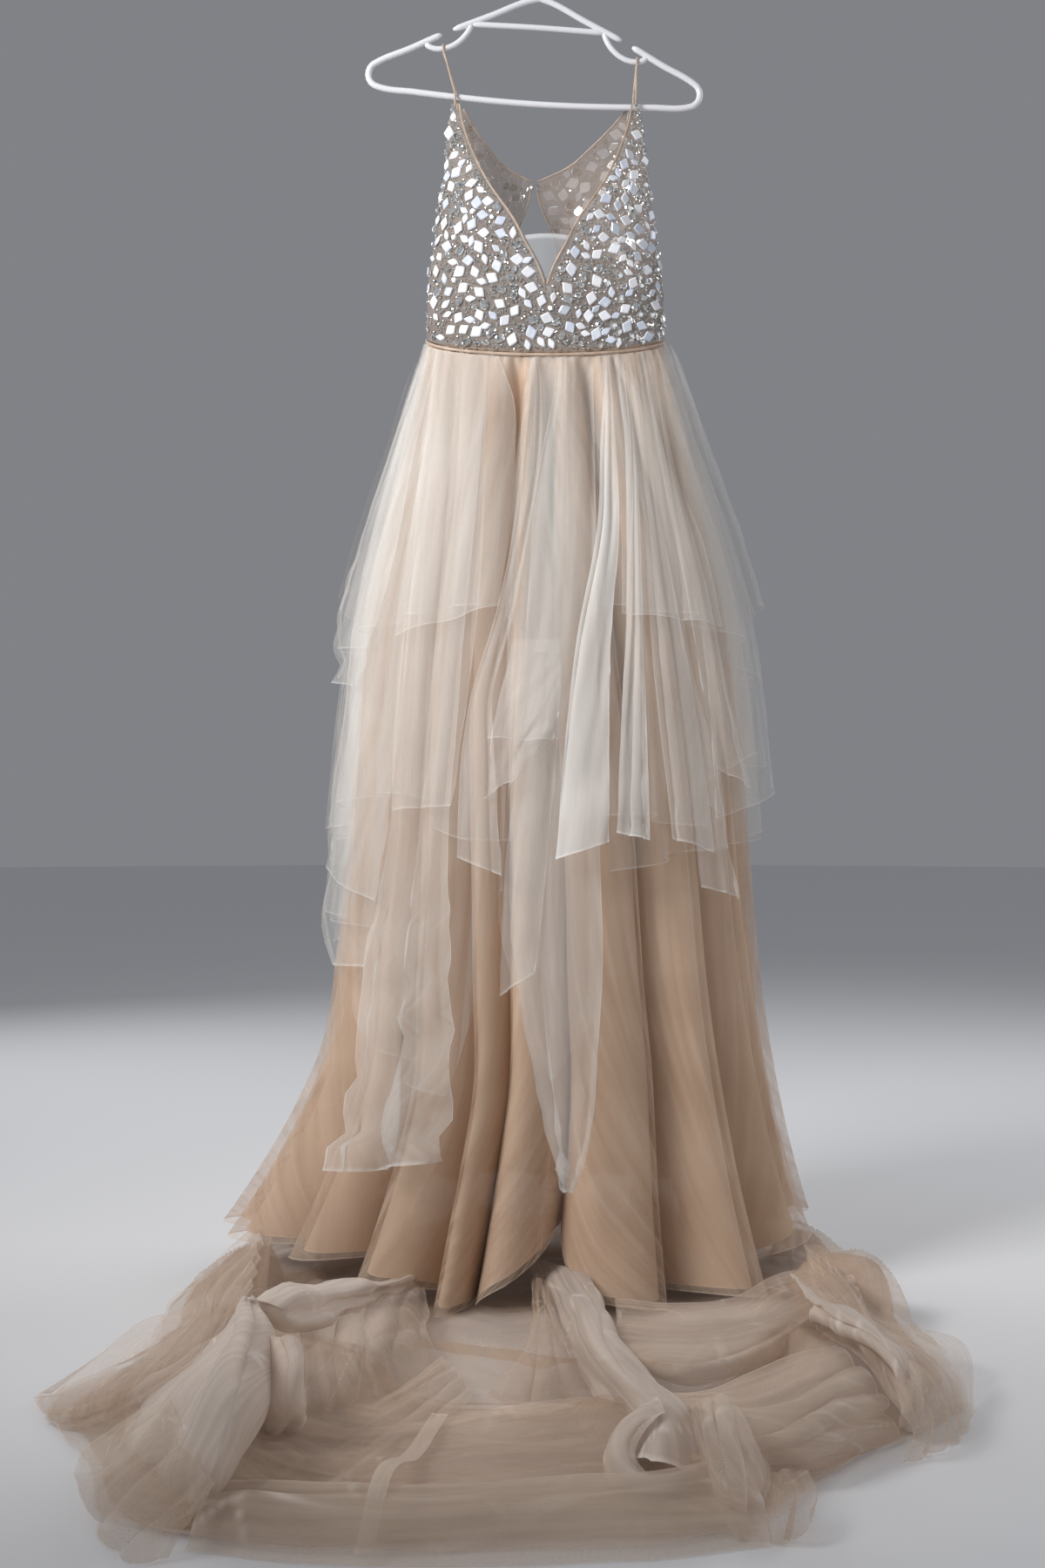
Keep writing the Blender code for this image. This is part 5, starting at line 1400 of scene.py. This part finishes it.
def train_sheet(first, last, seed, standoff, base, wide):
    """Rows run across the ring, columns round it. The raw outer edge wavers and comes
    down to the floor; the cloth rides over the crests a little above the floor."""
    bearing = np.radians(np.linspace(first, last, int((last - first) * 1.5)))[:, None]
    share = 1.0 - (1.0 - np.linspace(0.0, 1.0, 64)[None, :]) ** 1.2
    share = np.concatenate([share[:, :-1], [[0.994, 1.0]]], axis=1)
    ragged = 0.010 * waver(seed, 8.0 * bearing) + 0.002 * waver(seed + 1, 45.0 * bearing)
    inner = train_at(bearing, 1)
    x, y = on_floor(bearing, inner + (train_at(bearing, 2) + wide + ragged - inner) * share)
    wander = 0.010 * waver(seed + 2, 9.0 * x, 9.0 * y)
    height, push = lay_over(TRAIN_CRESTS, x + wander, y - wander, seed + 10)
    swell = np.sin(np.pi * share.clip(0.0, 1.0)) ** 0.5
    pool = base * train_at(bearing, 3) * swell
    small = 0.0025 * waver(seed + 3, 60.0 * x + 20.0 * y, 35.0 * y) * swell
    down = (1.0 - share ** 8)
    lift = (np.cbrt(height ** 3 + pool ** 3) + small) * down + standoff * (0.25 + 0.75 * down)
    x, y = x + push[..., 0] * down, y + push[..., 1] * down
    # The crumple ridges and the raw outer edge become denser and are painted lighter as a highlight.
    points, edge = crushed(np.stack([x, y, lift], axis=-1), 0.002, 0.14, seed + 20)
    points[..., 2] = FLOOR_Z + 0.0012 + points[..., 2].clip(0)
    edge[:, -2:] = 0.25
    return points, edge


def build_train():
    """Two plies round the ring, one on the floor inside it, and the folds that lie over
    them, crumpled more where they are denser."""
    # The train plies are the skirt's champagne plies painted a little darker, as shade on the floor round
    # and under the skirt.
    plies = sheer("train plies", (0.70, 0.515, 0.375), (0.57, 0.405, 0.285), 0.30, 0.58, TULLE_PITCH,
                  0.15, pleats=0.06)
    tulle = sheer("train tulle", (0.76, 0.585, 0.445), (0.62, 0.455, 0.33), 0.18, 0.40, TULLE_PITCH,
                  0.2, pleats=0.08)
    for word, first, last in (("left", -146.25, -45.0), ("front", -45.0, 33.75),
                              ("right", 33.75, 146.25), ("back", 146.25, 213.75)):
        for kind, cloth, node, seed, standoff, base, wide in (
                ("plies", plies, None, 61, 0.002, 0.25, -0.040),
                ("tulle", tulle, "train_" + word, 71, 0.006, 0.30, -0.022)):
            points, edge = train_sheet(first, last, seed, standoff, base, wide)
            piece = sheet_piece(f"train_{kind}_{word}", points, cloth, node, edge)
            points.transpose(1, 0, 2)
    bearing = np.radians(np.linspace(-180.0, 180.0, 200))[:, None]
    share = np.linspace(-0.97, 0.12, 50)[None, :]
    x, y = on_floor(bearing, train_at(bearing, 1) * (1.0 + share))
    height, push = lay_over(FLOOR_CRESTS, x, y, 91)
    small = 0.004 + 0.0035 * waver(93, 50.0 * x + 20.0 * y, 30.0 * y)
    points = np.stack([x + push[..., 0], y + push[..., 1], FLOOR_Z + 0.0012 + (height + small).clip(0)],
                      axis=-1)
    piece = sheet_piece("train_floor_tulle", points, plies, "train_floor_layer")
    points.transpose(1, 0, 2)
    for number, (word, (folds, lap, depth, density, guides)) in enumerate(SWAGS.items()):
        lines = np.stack([smooth_path(0.01 * np.array(line), 72) for line in guides])
        points, edge = folded_sheet(lines, folds, lap, 0.001 * depth, 100 + 7 * number)
        points, crease = crushed(points, (0.001 + 0.004 * density) * (lap > 0.0), 0.12, 200 + 10 * number)
        points[..., 2] = FLOOR_Z + np.maximum(points[..., 2], 0.0015)
        # Fold turns, crumple ridges and raw edges are denser and painted lighter as a highlight; density
        # adds the swag's extra cloth.
        piece = sheet_piece("train_fold_" + word, points, tulle, None,
                            edge + crease + density, 1)
        points.transpose(1, 0, 2)


build_train()


# ---- Studio ------------------------------------------------------------------
# A plain pale floor, a large soft key from the upper left, a weak fill and two soft
# lights behind, seen straight on from a little above the wearer's knees.

FLOOR_RADIUS = 14.0


def build_studio():
    """A round floor, four area lights aimed at their targets, and a dim cool sky."""
    graph = Graph("pale floor", (0.86, 0.86, 0.87), 0.85, {})
    graph.fill(graph.shader, {"Roughness": graph.span(graph.noise(3.0), 0.82, 0.90)})
    radius = np.array([0.0, FLOOR_RADIUS])[:, None]
    turn = np.linspace(0.0, 2 * np.pi, 64, endpoint=False)[None, :]
    points = np.stack([radius * np.cos(turn), radius * np.sin(turn),
                       np.full((2, 64), FLOOR_Z - 0.0005)], axis=-1)
    floor = mesh_piece("floor", points, grid_quads(2, 64, wrap=True), graph.material)
    for name, place, target, size, power, spread in (
            ("key", (-1.4, -1.4, 0.1), (-0.15, -0.1, -0.55), 0.8, 13.0, 90.0),
            ("fill", (2.2, -2.6, -0.6), (0.0, -0.1, -0.9), 2.0, 7.0, 180.0),
            ("side", (2.4, 1.2, 0.2), (0.0, 0.0, -0.9), 2.0, 24.0, 180.0),
            ("back", (-1.6, 2.2, 0.3), (0.0, 0.0, -0.9), 2.0, 24.0, 180.0)):
        light = bpy.data.lights.new(name, "AREA")
        light.size = size
        light.energy = power
        light.spread = math.radians(spread)
        lamp = bpy.data.objects.new(name, light)
        lamp.location = place
        aim = np.array(target) - np.array(place)
        lamp.rotation_euler = (math.atan2(math.hypot(aim[0], aim[1]), -aim[2]), 0.0,
                               math.atan2(aim[1], aim[0]) - math.pi / 2)
        bpy.context.scene.collection.objects.link(lamp)
    world = bpy.data.worlds.new("studio")
    world.use_nodes = True
    sky = world.node_tree.nodes["Background"].inputs
    sky["Color"].default_value = (0.9, 0.93, 1.0, 1.0)
    sky["Strength"].default_value = 0.24
    bpy.context.scene.world = world


def build_camera():
    lens = bpy.data.cameras.new("camera")
    lens.lens = 50.0
    lens.sensor_width = 36.0
    camera = bpy.data.objects.new("camera", lens)
    camera.location = (-0.0261, -2.76, -1.0566)
    camera.rotation_euler = (math.pi / 2, 0.0, 0.0)
    bpy.context.scene.collection.objects.link(camera)
    bpy.context.scene.camera = camera


build_studio()
build_camera()
bpy.context.scene.cycles.transparent_max_bounces = 32
bpy.context.scene.view_settings.view_transform = "Standard"
bpy.context.scene.view_settings.look = "None"
